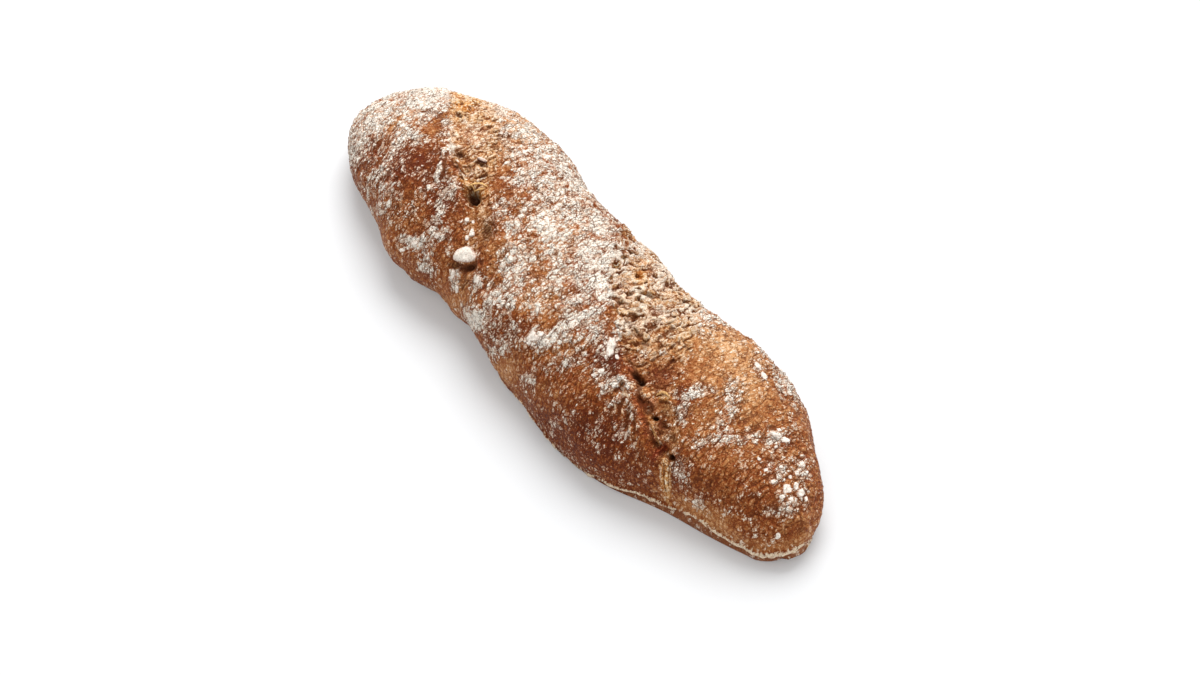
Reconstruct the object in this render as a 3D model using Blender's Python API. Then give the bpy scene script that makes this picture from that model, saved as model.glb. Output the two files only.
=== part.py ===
"""A short rustic baguette, whole and uncut, as one closed solid.

Metres, +Z up.  +X runs along the loaf from its blunt end to its tapered end,
+Y runs across it, and the origin is under the middle of the loaf's outline,
on the surface that it rests on.

The loaf is a stack of D-shaped sections along X.  Each section has its own
half widths, height, widest line and foot, worked out from the sizes below.
Two long slashes cross it at an angle.  Each is a trough that follows its own
line over the crust, with lips that stand a little proud.
"""

import math

import bpy
import numpy as np

# ---------------------------------------------------------------- main sizes
LENGTH = 0.345              # tip to tip
HEIGHT = 0.0600             # crust above the table, at the middle
HALF_WIDTH = 0.0495         # of the plain section, before its bulges
CENTRE = (0.00054, 0.00392)  # moves the outline's middle over the origin

# how blunt the ends are: seen from above (plan) and from the side (rise)
PLAN_FAR, PLAN_NEAR = 4.3, 3.1
RISE_FAR, RISE_NEAR = 3.1, 2.4
TIP_FAR, TIP_NEAR = 0.015, 0.011      # height of each tip above the table
TIP_SHIFT_FAR = 0.004                 # the far tip lies to one side
SKEW_FAR, SKEW_NEAR = -0.33, 0.18     # how far each end is cut across the axis

# bulges and waists, as a share of the half width, at even steps along X
BULGE_REACH = 0.155
BULGE_ENDS = 0.88
BULGES_FRONT = (0.02, 0.04, 0.15, 0.00, 0.10, 0.13, 0.12, -0.12, -0.17)
BULGES_BACK = (-0.19, 0.02, -0.02, -0.18, -0.13, -0.20, -0.02, 0.09, -0.02)

# humps along the top, as (place along X from -1 to 1, reach, share of height)
HUMPS = ((-0.62, 0.30, 0.03), (0.00, 0.30, -0.01), (0.50, 0.30, -0.01))

WIDEST = 0.345              # height of the widest line, as a share of HEIGHT
FOOT_FRONT = (0.74, 0.96)   # foot's half width over the section's, far to near
FOOT_BACK = (0.80, 0.86)
LIFT_FAR, LIFT_NEAR = 0.93, 0.965     # where the foot ends and the underside curls up
FOOT_BLUNT = 5.0            # how squarely the foot ends

# the slashes: (along X from -1 to 1, angle round the section in degrees from
# +Y over the top, half width in mm, depth in mm)
SLASH_FAR = (
    (-0.770, 50.0, 7.0, 0.8),
    (-0.640, 80.0, 10.5, 1.6),
    (-0.510, 95.5, 9.5, 2.6),
    (-0.370, 107.5, 7.0, 4.2),
    (-0.275, 122.0, 6.5, 3.0),
    (-0.233, 140.5, 5.5, 2.8),
    (-0.200, 160.0, 3.0, 0.8),
)
SLASH_NEAR = (
    (0.045, 38.0, 8.0, 0.8),
    (0.114, 51.0, 13.0, 1.6),
    (0.260, 78.0, 17.0, 2.0),
    (0.370, 97.0, 13.0, 2.6),
    (0.450, 113.5, 8.0, 5.0),
    (0.545, 128.0, 6.5, 6.0),
    (0.615, 147.0, 5.0, 5.0),
    (0.655, 171.0, 3.0, 2.5),
    (0.668, 192.0, 2.0, 1.0),
)
LIP = 0.0009                # how far a slash's lips stand proud

# slow lumps in the crust: (waves along the loaf, waves round it, turn, size)
LUMPS = (
    (2.9, 3.0, 0.4, 0.00060),
    (4.6, -2.0, 1.9, 0.00050),
    (6.1, 5.0, 0.9, 0.00040),
    (8.3, -4.0, 2.6, 0.00030),
    (9.7, 7.0, 4.1, 0.00022),
)

# fineness of the solid
STATIONS = 96
RING_TOP = 34               # points over the top, from widest line to widest line
RING_WALL = 5               # points down each lower wall

CRUST = (0.36, 0.17, 0.085, 1.0)


def bell(x, middle, reach):
    return np.exp(-(((x - middle) / reach) ** 2))


def ease(x, start, end):
    k = np.clip((x - start) / (end - start), 0.0, 1.0)
    return k * k * (3.0 - 2.0 * k)


def end_curve(t, far, near):
    """1 along the loaf, rounding off to 0 at both tips."""
    power = np.where(t < 0.0, far, near)
    return np.sqrt(np.clip(1.0 - np.abs(t) ** power, 1e-12, 1.0))


def section_sizes(t):
    """Sizes of the sections at the stations t, from -1 to 1."""
    plan = end_curve(t, PLAN_FAR, PLAN_NEAR)
    rise = end_curve(t, RISE_FAR, RISE_NEAR)
    places = np.linspace(-BULGE_ENDS, BULGE_ENDS, len(BULGES_FRONT))
    front = 1.0 + sum(b * bell(t, p, BULGE_REACH) for b, p in zip(BULGES_FRONT, places))
    back = 1.0 + sum(b * bell(t, p, BULGE_REACH) for b, p in zip(BULGES_BACK, places))
    tip = np.where(t < 0.0, TIP_FAR, TIP_NEAR)
    hump = 1.0 + sum(s * bell(t, p, r) for p, r, s in HUMPS)
    top = tip * (1.0 - rise) + HEIGHT * rise * hump
    lift = np.where(t < 0.0, LIFT_FAR, LIFT_NEAR)
    curl = np.clip((np.abs(t) - lift) / (1.0 - lift), 0.0, 1.0)
    under = tip * (1.0 - np.sqrt(1.0 - curl * curl))
    widest = np.maximum(tip + (WIDEST * HEIGHT - tip) * rise ** 1.5, under)
    foot = np.sqrt(np.clip(1.0 - (np.abs(t) / lift) ** FOOT_BLUNT, 0.0, 1.0))
    foot = np.minimum(foot / plan, 1.0)
    return {
        "front": HALF_WIDTH * plan * front,
        "back": HALF_WIDTH * plan * back,
        "shift": TIP_SHIFT_FAR * np.clip(-t, 0.0, 1.0) ** 3,
        "top": top,
        "under": under,
        "widest": widest,
        "foot_front": foot * (FOOT_FRONT[0] + (FOOT_FRONT[1] - FOOT_FRONT[0]) * ease(t, -0.25, 0.30)),
        "foot_back": foot * (FOOT_BACK[0] + (FOOT_BACK[1] - FOOT_BACK[0]) * ease(t, -0.2, 0.4)),
    }


def place(t, across, height, shift):
    """A section's point in the loaf's frame, with the ends cut on the skew."""
    x = 0.5 * LENGTH * t
    x = x - SKEW_FAR * across * np.clip(-t, 0.0, 1.0) ** 2
    x = x - SKEW_NEAR * across * np.clip(t, 0.0, 1.0) ** 2
    return np.stack(
        np.broadcast_arrays(x + CENTRE[0], across + shift + CENTRE[1], height), axis=-1
    )


def crust_point(t, angle):
    """The plain crust over the top; angle in radians from +Y over the top to -Y."""
    size = {k: np.asarray(v)[..., None] for k, v in section_sizes(t).items()}
    t = np.asarray(t)[..., None]
    c, s = np.cos(angle), np.sin(angle)
    half = np.where(c > 0.0, size["back"], size["front"])
    foot = np.where(c > 0.0, size["foot_back"], size["foot_front"])
    # over the top
    across = half * np.sign(c) * np.abs(c) ** 0.92
    height = size["widest"] + (size["top"] - size["widest"]) * np.abs(s) ** 0.95
    # below the widest line the wall tucks in to the foot
    down = np.clip(np.where(s < 0.0, np.arcsin(np.clip(-s, 0.0, 1.0)), 0.0) / (0.275 * math.pi), 0.0, 1.0)
    turn = down * 0.5 * math.pi
    wall = np.sign(c) * half * (foot + (1.0 - foot) * np.cos(turn) ** 1.2)
    wall_height = size["widest"] + (size["under"] - size["widest"]) * np.sin(turn) ** 1.1
    low = s < 0.0
    return place(t, np.where(low, wall, across), np.where(low, wall_height, height), size["shift"])


def slash_line(rows):
    """Points every millimetre or so along a slash, with half width and depth."""
    rows = np.array(rows)
    knots = np.arange(len(rows), dtype=float)
    fine = np.linspace(0.0, len(rows) - 1.0, 12 * (len(rows) - 1) + 1)
    t, angle, half, depth = (np.interp(fine, knots, rows[:, i]) for i in range(4))
    points = np.array([crust_point(np.array([a]), np.array([math.radians(b)]))[0, 0] for a, b in zip(t, angle)])
    return points, half * 0.001, depth * 0.001


def slash_offset(points, rows):
    """How far a slash moves the crust at each point, outwards positive."""
    line, half, depth = slash_line(rows)
    gap = np.linalg.norm(points[:, None, :] - line[None, :, :], axis=2)
    share = gap / half[None, :]
    # blend over the nearest stretch of the line, so that the walls run smoothly
    weight = np.exp(-np.minimum((share - share.min(axis=1, keepdims=True)) * 14.0, 60.0))
    weight /= weight.sum(axis=1, keepdims=True)
    r = (share * weight).sum(axis=1)
    deep = (weight * depth[None, :]).sum(axis=1)
    trough = -deep * (1.0 - ease(r, 0.10, 1.15))
    lip = LIP * bell(r, 1.35, 0.32) * np.clip(deep / 0.003, 0.3, 1.0)
    return trough + lip


def build_loaf():
    s = np.linspace(-1.0, 1.0, STATIONS)
    t = 0.5 * s + 0.5 * np.sin(0.5 * math.pi * s)
    t = np.concatenate([[-0.9994, -0.9978], t[1:-1], [0.9978, 0.9994]])
    t = np.sort(t)
    over = np.linspace(0.0, math.pi, RING_TOP)
    wall = 0.275 * math.pi * np.arange(1, RING_WALL + 1) / RING_WALL
    angle = np.concatenate([over, math.pi + wall, 2.0 * math.pi - wall[::-1]])
    count = len(angle)

    grid = crust_point(t, angle)
    # outward direction of the crust, from its neighbours in the grid
    along = np.gradient(grid, axis=0)
    round_ = np.roll(grid, -1, axis=1) - np.roll(grid, 1, axis=1)
    out = np.cross(along, round_)
    out /= np.maximum(np.linalg.norm(out, axis=2, keepdims=True), 1e-12)
    if out[len(t) // 2, RING_TOP // 2, 2] < 0.0:
        out = -out

    points = grid.reshape(-1, 3)
    move = slash_offset(points, SLASH_FAR) + slash_offset(points, SLASH_NEAR)
    x = points[:, 0] / LENGTH
    turn = np.tile(angle, len(t))
    for waves, rounds, start, size in LUMPS:
        move = move + size * np.sin(2.0 * math.pi * waves * x + rounds * turn + start)
    # the underside stays flat and the tips stay smooth
    keep = ease(points[:, 2], 0.002, 0.010) * ease(1.0 - np.abs(np.repeat(t, count)), 0.0, 0.04)
    moved = points + out.reshape(-1, 3) * (move * keep)[:, None]
    moved[:, 2] = np.where(points[:, 2] < 1e-6, 0.0, np.maximum(moved[:, 2], 0.0))

    first = moved[:count].mean(axis=0)
    last = moved[-count:].mean(axis=0)
    half = 0.5 * LENGTH
    first[0] = min(first[0], moved[:count, 0].min()) - 0.0004
    last[0] = max(last[0], moved[-count:, 0].max()) + 0.0004
    verts = [tuple(p) for p in moved] + [tuple(first), tuple(last)]

    faces = []
    for i in range(len(t) - 1):
        for j in range(count):
            k = (j + 1) % count
            faces.append((i * count + j, i * count + k, (i + 1) * count + k, (i + 1) * count + j))
    tip_a, tip_b = len(verts) - 2, len(verts) - 1
    end = (len(t) - 1) * count
    for j in range(count):
        k = (j + 1) % count
        faces.append((tip_a, k, j))
        faces.append((tip_b, end + j, end + k))

    mesh = bpy.data.meshes.new("loaf")
    mesh.from_pydata(verts, [], faces)
    mesh.validate()
    mesh.update()
    return mesh


def crust_material():
    material = bpy.data.materials.new("crust")
    material.use_nodes = True
    shader = material.node_tree.nodes["Principled BSDF"]
    shader.inputs["Base Color"].default_value = CRUST
    shader.inputs["Roughness"].default_value = 0.7
    shader.inputs["Metallic"].default_value = 0.0
    material.diffuse_color = CRUST
    return material


def main():
    for thing in list(bpy.data.objects):
        bpy.data.objects.remove(thing, do_unlink=True)
    mesh = build_loaf()
    loaf = bpy.data.objects.new("loaf", mesh)
    bpy.context.collection.objects.link(loaf)
    mesh.materials.append(crust_material())
    mesh.shade_smooth()


main()
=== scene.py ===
"""The looks of a short rustic baguette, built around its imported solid.

The crust is one closed skin, worked out from the same named sizes as the
solid and then given its relief: slow lumps, rolls and wrinkles of the dough,
flour that stands on the crust, and the edge of the bottom crust.  The torn
crumb of the two slashes is a finer sheet that comes up through the skin.
Flour clumps, bran flakes and crumb shreds are pieces of their own.  Places
are given by the pixel of a 1200 x 675 picture at which they show, and each is
carried onto the crust that lies behind that pixel.
"""

import math

import bpy
import numpy as np
from mathutils import Matrix, Vector


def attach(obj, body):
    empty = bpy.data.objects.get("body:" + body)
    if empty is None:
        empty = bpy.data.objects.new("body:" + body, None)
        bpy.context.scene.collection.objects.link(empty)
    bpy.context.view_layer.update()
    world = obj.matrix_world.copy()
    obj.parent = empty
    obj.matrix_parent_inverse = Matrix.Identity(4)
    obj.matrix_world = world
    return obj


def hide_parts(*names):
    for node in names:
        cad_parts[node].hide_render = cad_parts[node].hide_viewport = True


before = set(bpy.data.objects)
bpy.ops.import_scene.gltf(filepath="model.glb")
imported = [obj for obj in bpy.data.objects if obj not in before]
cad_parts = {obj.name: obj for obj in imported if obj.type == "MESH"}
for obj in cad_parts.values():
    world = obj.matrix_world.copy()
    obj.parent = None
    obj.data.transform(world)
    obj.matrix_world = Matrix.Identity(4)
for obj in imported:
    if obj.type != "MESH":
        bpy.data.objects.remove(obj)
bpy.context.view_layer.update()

# =============================================================== the loaf's form
# the same sizes as the solid's
LENGTH = 0.345
HEIGHT = 0.0600
HALF_WIDTH = 0.0495
CENTRE = (0.00054, 0.00392)
PLAN_FAR, PLAN_NEAR = 4.3, 3.1
RISE_FAR, RISE_NEAR = 3.1, 2.4
TIP_FAR, TIP_NEAR = 0.015, 0.011
TIP_SHIFT_FAR = 0.004
SKEW_FAR, SKEW_NEAR = -0.33, 0.18
BULGE_REACH = 0.155
BULGE_ENDS = 0.88
BULGES_FRONT = (0.02, 0.04, 0.15, 0.00, 0.10, 0.13, 0.12, -0.12, -0.17)
BULGES_BACK = (-0.19, 0.02, -0.02, -0.18, -0.13, -0.20, -0.02, 0.09, -0.02)
HUMPS = ((-0.62, 0.30, 0.03), (0.00, 0.30, -0.01), (0.50, 0.30, -0.01))
WIDEST = 0.345
FOOT_FRONT = (0.74, 0.96)
FOOT_BACK = (0.80, 0.86)
LIFT_FAR, LIFT_NEAR = 0.93, 0.965
FOOT_BLUNT = 5.0
LUMPS = (
    (2.9, 3.0, 0.4, 0.00060),
    (4.6, -2.0, 1.9, 0.00050),
    (6.1, 5.0, 0.9, 0.00040),
    (8.3, -4.0, 2.6, 0.00030),
    (9.7, 7.0, 4.1, 0.00022),
)


def bell(x, middle, reach):
    return np.exp(-(((x - middle) / reach) ** 2))


def ease(x, start, end):
    k = np.clip((x - start) / (end - start), 0.0, 1.0)
    return k * k * (3.0 - 2.0 * k)


def end_curve(t, far, near):
    power = np.where(t < 0.0, far, near)
    return np.sqrt(np.clip(1.0 - np.abs(t) ** power, 1e-12, 1.0))


def section_sizes(t):
    plan = end_curve(t, PLAN_FAR, PLAN_NEAR)
    rise = end_curve(t, RISE_FAR, RISE_NEAR)
    places = np.linspace(-BULGE_ENDS, BULGE_ENDS, len(BULGES_FRONT))
    front = 1.0 + sum(b * bell(t, p, BULGE_REACH) for b, p in zip(BULGES_FRONT, places))
    back = 1.0 + sum(b * bell(t, p, BULGE_REACH) for b, p in zip(BULGES_BACK, places))
    tip = np.where(t < 0.0, TIP_FAR, TIP_NEAR)
    hump = 1.0 + sum(s * bell(t, p, r) for p, r, s in HUMPS)
    top = tip * (1.0 - rise) + HEIGHT * rise * hump
    lift = np.where(t < 0.0, LIFT_FAR, LIFT_NEAR)
    curl = np.clip((np.abs(t) - lift) / (1.0 - lift), 0.0, 1.0)
    under = tip * (1.0 - np.sqrt(1.0 - curl * curl))
    widest = np.maximum(tip + (WIDEST * HEIGHT - tip) * rise**1.5, under)
    foot = np.sqrt(np.clip(1.0 - (np.abs(t) / lift) ** FOOT_BLUNT, 0.0, 1.0))
    foot = np.minimum(foot / plan, 1.0)
    return {
        "front": HALF_WIDTH * plan * front,
        "back": HALF_WIDTH * plan * back,
        "shift": TIP_SHIFT_FAR * np.clip(-t, 0.0, 1.0) ** 3,
        "top": top,
        "under": under,
        "widest": widest,
        "foot_front": foot * (FOOT_FRONT[0] + (FOOT_FRONT[1] - FOOT_FRONT[0]) * ease(t, -0.25, 0.30)),
        "foot_back": foot * (FOOT_BACK[0] + (FOOT_BACK[1] - FOOT_BACK[0]) * ease(t, -0.2, 0.4)),
    }


def place(t, across, height, shift):
    x = 0.5 * LENGTH * t
    x = x - SKEW_FAR * across * np.clip(-t, 0.0, 1.0) ** 2
    x = x - SKEW_NEAR * across * np.clip(t, 0.0, 1.0) ** 2
    return np.stack(
        np.broadcast_arrays(x + CENTRE[0], across + shift + CENTRE[1], height), axis=-1
    )


def crust_point(t, angle):
    size = {k: np.asarray(v)[..., None] for k, v in section_sizes(t).items()}
    t = np.asarray(t)[..., None]
    c, s = np.cos(angle), np.sin(angle)
    half = np.where(c > 0.0, size["back"], size["front"])
    foot = np.where(c > 0.0, size["foot_back"], size["foot_front"])
    across = half * np.sign(c) * np.abs(c) ** 0.92
    height = size["widest"] + (size["top"] - size["widest"]) * np.abs(s) ** 0.95
    down = np.clip(
        np.where(s < 0.0, np.arcsin(np.clip(-s, 0.0, 1.0)), 0.0) / (0.275 * math.pi), 0.0, 1.0
    )
    turn = down * 0.5 * math.pi
    wall = np.sign(c) * half * (foot + (1.0 - foot) * np.cos(turn) ** 1.2)
    wall_height = size["widest"] + (size["under"] - size["widest"]) * np.sin(turn) ** 1.1
    low = s < 0.0
    return place(t, np.where(low, wall, across), np.where(low, wall_height, height), size["shift"])


# ==================================================================== the camera
LENS = 92.0
REACH = 1.5
AZIMUTH, ELEVATION = math.radians(53.0), math.radians(50.0)
AIM = np.array([0.01766625, 0.00137802, 0.01223945])
BACK = np.array(
    [
        math.sin(AZIMUTH) * math.cos(ELEVATION),
        -math.cos(AZIMUTH) * math.cos(ELEVATION),
        math.sin(ELEVATION),
    ]
)
RIGHT = np.array([math.cos(AZIMUTH), math.sin(AZIMUTH), 0.0])
UP = np.cross(BACK, RIGHT)
EYE = AIM + BACK * REACH
PER_RADIAN = LENS / 36.0 * 1200.0


def picture(points):
    """Where points show in the 1200 x 675 picture."""
    d = points - EYE
    depth = -(d @ BACK)
    return np.stack(
        [600.0 + PER_RADIAN * (d @ RIGHT) / depth, 337.5 - PER_RADIAN * (d @ UP) / depth], axis=-1
    )


# ===================================================================== noise
class Noise:
    """Smooth gradient noise in three dimensions, about -1 to 1."""

    def __init__(self, seed):
        rng = np.random.RandomState(seed)
        table = rng.permutation(256)
        self.table = np.concatenate([table, table]).astype(np.int32)
        g = rng.normal(size=(256, 3))
        self.grad = (g / np.linalg.norm(g, axis=1, keepdims=True)).astype(np.float32)

    def __call__(self, p):
        p = np.asarray(p, dtype=np.float32)
        cell = np.floor(p).astype(np.int32)
        f = p - cell
        u = f * f * f * (f * (f * 6.0 - 15.0) + 10.0)
        cell &= 255
        total = np.zeros(len(p), dtype=np.float32)
        for dx in (0, 1):
            ix = self.table[(cell[:, 0] + dx) & 255]
            wx = u[:, 0] if dx else 1.0 - u[:, 0]
            for dy in (0, 1):
                iy = self.table[ix + ((cell[:, 1] + dy) & 255)]
                wy = wx * (u[:, 1] if dy else 1.0 - u[:, 1])
                for dz in (0, 1):
                    iz = self.table[iy + ((cell[:, 2] + dz) & 255)]
                    g = self.grad[iz]
                    dot = (
                        g[:, 0] * (f[:, 0] - dx) + g[:, 1] * (f[:, 1] - dy) + g[:, 2] * (f[:, 2] - dz)
                    )
                    total += dot * wy * (u[:, 2] if dz else 1.0 - u[:, 2])
        return total * 1.6


def layered(noise, p, layers=3, gain=0.5, step=2.03):
    total, size, scale, norm = 0.0, 1.0, 1.0, 0.0
    for i in range(layers):
        total = total + size * noise(p * scale + 17.3 * i)
        norm += size * size
        size *= gain
        scale *= step
    return total / math.sqrt(norm)


def cells(seed, p):
    """Distances to the nearest and next scattered point, and the nearest one's own number."""
    rng = np.random.RandomState(seed)
    jitter = rng.rand(4096, 3).astype(np.float32)
    own = rng.rand(4096).astype(np.float32)
    p = np.asarray(p, dtype=np.float32)
    cell = np.floor(p).astype(np.int64)
    best = np.full(len(p), 9.0, dtype=np.float32)
    next_ = np.full(len(p), 9.0, dtype=np.float32)
    number = np.zeros(len(p), dtype=np.float32)
    for dx in (-1, 0, 1):
        for dy in (-1, 0, 1):
            for dz in (-1, 0, 1):
                c = cell + np.array([dx, dy, dz])
                h = (c[:, 0] * 73856093 ^ c[:, 1] * 19349663 ^ c[:, 2] * 83492791) & 4095
                q = c + jitter[h]
                d = ((q - p) ** 2).sum(axis=1).astype(np.float32)
                near = d < best
                next_ = np.where(near, best, np.minimum(next_, d))
                best = np.where(near, d, best)
                number = np.where(near, own[h], number)
    return np.sqrt(best), np.sqrt(next_), number


N1, N2, N3, N4, N5, N6 = (Noise(s) for s in (11, 23, 37, 41, 59, 67))


# ======================================================= points of the bare form
class Sheet:
    """Points of the bare form, with what every field is worked out from."""

    def __init__(self, points, normals, t, angle):
        self.p, self.n, self.t, self.a = points, normals, t, angle
        self.mm = points * 1000.0
        self.px, self.py = picture(points).T
        self.seen = ease(normals @ BACK, -0.02, 0.16)
        self.near = ease(normals @ BACK, -0.55, 0.10) * ease(normals[:, 2], -0.25, 0.05)
        self.up = normals[:, 2]

    def part(self, keep):
        return Sheet(self.p[keep], self.n[keep], self.t[keep], self.a[keep])

    def spot(self, x, y, rx, ry=None, turn=0.0, hard=1.0):
        """A soft oval round a pixel; turn is in degrees, anticlockwise as seen."""
        ry = rx if ry is None else ry
        a = math.radians(-turn)
        dx, dy = self.px - x, self.py - y
        u = (dx * math.cos(a) + dy * math.sin(a)) / rx
        v = (-dx * math.sin(a) + dy * math.cos(a)) / ry
        return np.exp(-((u * u + v * v) ** hard))

    def line(self, points, width):
        """Closeness to a drawn line, 1 on it; the width may change along it."""
        best = np.full(len(self.px), 1e9)
        width = np.broadcast_to(width, (len(points),))
        for i in range(len(points) - 1):
            (x0, y0), (x1, y1) = points[i], points[i + 1]
            dx, dy = x1 - x0, y1 - y0
            k = ((self.px - x0) * dx + (self.py - y0) * dy) / (dx * dx + dy * dy)
            k = np.clip(k, 0.0, 1.0)
            w = width[i] + (width[i + 1] - width[i]) * k
            best = np.minimum(best, np.hypot(self.px - x0 - k * dx, self.py - y0 - k * dy) / w)
        return np.exp(-(best**2))

    def beside(self, points):
        """Signed distance below a line that runs rightwards in the picture, in pixels."""
        pts = np.array(points, dtype=float)
        y = np.interp(self.px, pts[:, 0], pts[:, 1])
        middles = 0.5 * (pts[1:, 0] + pts[:-1, 0])
        slope = np.interp(self.px, middles, np.diff(pts[:, 1]) / np.diff(pts[:, 0]))
        return (self.py - y) / np.sqrt(1.0 + slope**2)

    def between(self, rows):
        """How far inside a band that runs down the picture, in pixels; rows are (y, left, right)."""
        rows = np.array(rows, dtype=float)
        left = np.interp(self.py, rows[:, 0], rows[:, 1])
        right = np.interp(self.py, rows[:, 0], rows[:, 2])
        inside = np.minimum(self.px - left, right - self.px)
        ends = np.minimum(self.py - rows[0, 0], rows[-1, 0] - self.py) * 1.2
        return np.minimum(inside, ends)

    def strained(self, cross, round_, tilt=0.0):
        """Noise places that are drawn out round the loaf, as its wrinkles are."""
        c, s = math.cos(tilt), math.sin(tilt)
        return np.stack(
            [
                (self.mm[:, 0] * c + self.mm[:, 1] * s) / cross,
                (-self.mm[:, 0] * s + self.mm[:, 1] * c) / round_,
                self.mm[:, 2] / round_,
            ],
            axis=-1,
        )


# ============================================================== the two slashes
SLASH_A = (
    (84, 448, 494), (100, 449, 492), (112, 449, 499), (124, 447, 502), (138, 446, 503), (150, 448, 500),
    (165, 453, 497), (180, 458, 494), (195, 463, 491), (210, 464, 492), (226, 462, 495), (240, 460, 492),
    (250, 456, 483), (262, 455, 479), (275, 453, 474), (290, 452, 466), (303, 452, 459),
)
SLASH_B = (
    (225, 622, 640), (236, 618, 652), (250, 611, 668), (262, 608, 684), (280, 606, 697), (300, 611, 704),
    (320, 615, 702), (340, 619, 697), (358, 622, 690), (374, 626, 683), (390, 631, 677), (405, 640, 678),
    (420, 643, 681), (435, 646, 681), (448, 650, 678), (460, 656, 674), (475, 659, 673), (492, 661, 671),
    (507, 663, 669),
)
DEPTH_A = ((90, 120, 150, 180, 200, 220, 245, 268, 290), (0.4, 0.6, 1.4, 2.2, 2.6, 2.0, 2.0, 2.0, 0.8))
DEPTH_B = (
    (232, 260, 300, 340, 370, 395, 420, 450, 475, 505),
    (0.3, 0.6, 0.8, 1.4, 2.6, 3.4, 4.2, 4.0, 2.2, 0.5),
)
# behind the ridge each slash goes on for a little way, out of the picture's sight:
# middle, reach along the loaf and reach across, in mm
BEHIND_A = (-131.0, 36.0, 38.0, 12.0, 13.0)
BEHIND_B = (16.0, 38.0, 44.0, 17.0, 15.0)


def behind(g, x, y, z, along, across):
    return 1.0 - np.sqrt(
        ((g.mm[:, 0] - x) / along) ** 2
        + ((g.mm[:, 1] - y) / across) ** 2
        + ((g.mm[:, 2] - z) / across) ** 2
    )


def slashes(g):
    wob = 3.4 * layered(N1, g.mm / 5.0, 3) + 1.6 * N2(g.mm / 1.9)
    in_a = g.between(SLASH_A) + wob * np.clip(0.35 + 0.65 * (230 - g.py) / 100.0, 0.35, 1.0)
    in_b = g.between(SLASH_B) + wob * np.clip(0.30 + 0.70 * (400 - g.py) / 100.0, 0.30, 1.0)
    hidden = 1.0 - g.seen
    in_a = in_a * g.seen + (30.0 * behind(g, *BEHIND_A) + wob) * hidden
    in_b = in_b * g.seen + (30.0 * behind(g, *BEHIND_B) + wob) * hidden
    in_a = np.where(g.t < -0.1, in_a, -60.0)
    in_b = np.where(g.t > -0.1, in_b, -60.0)
    inside = np.maximum(in_a, in_b)
    depth = np.where(
        in_a > in_b,
        np.interp(g.py, *DEPTH_A) * (0.3 + 0.7 * np.clip(in_a / 12.0, 0.0, 1.0)),
        np.interp(g.py, *DEPTH_B) * (0.3 + 0.7 * np.clip(in_b / 14.0, 0.0, 1.0)),
    )
    depth = np.where(g.seen < 0.5, 0.6, depth)
    return inside, in_a, in_b, depth * ease(inside, -1.5, 3.0)


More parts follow.
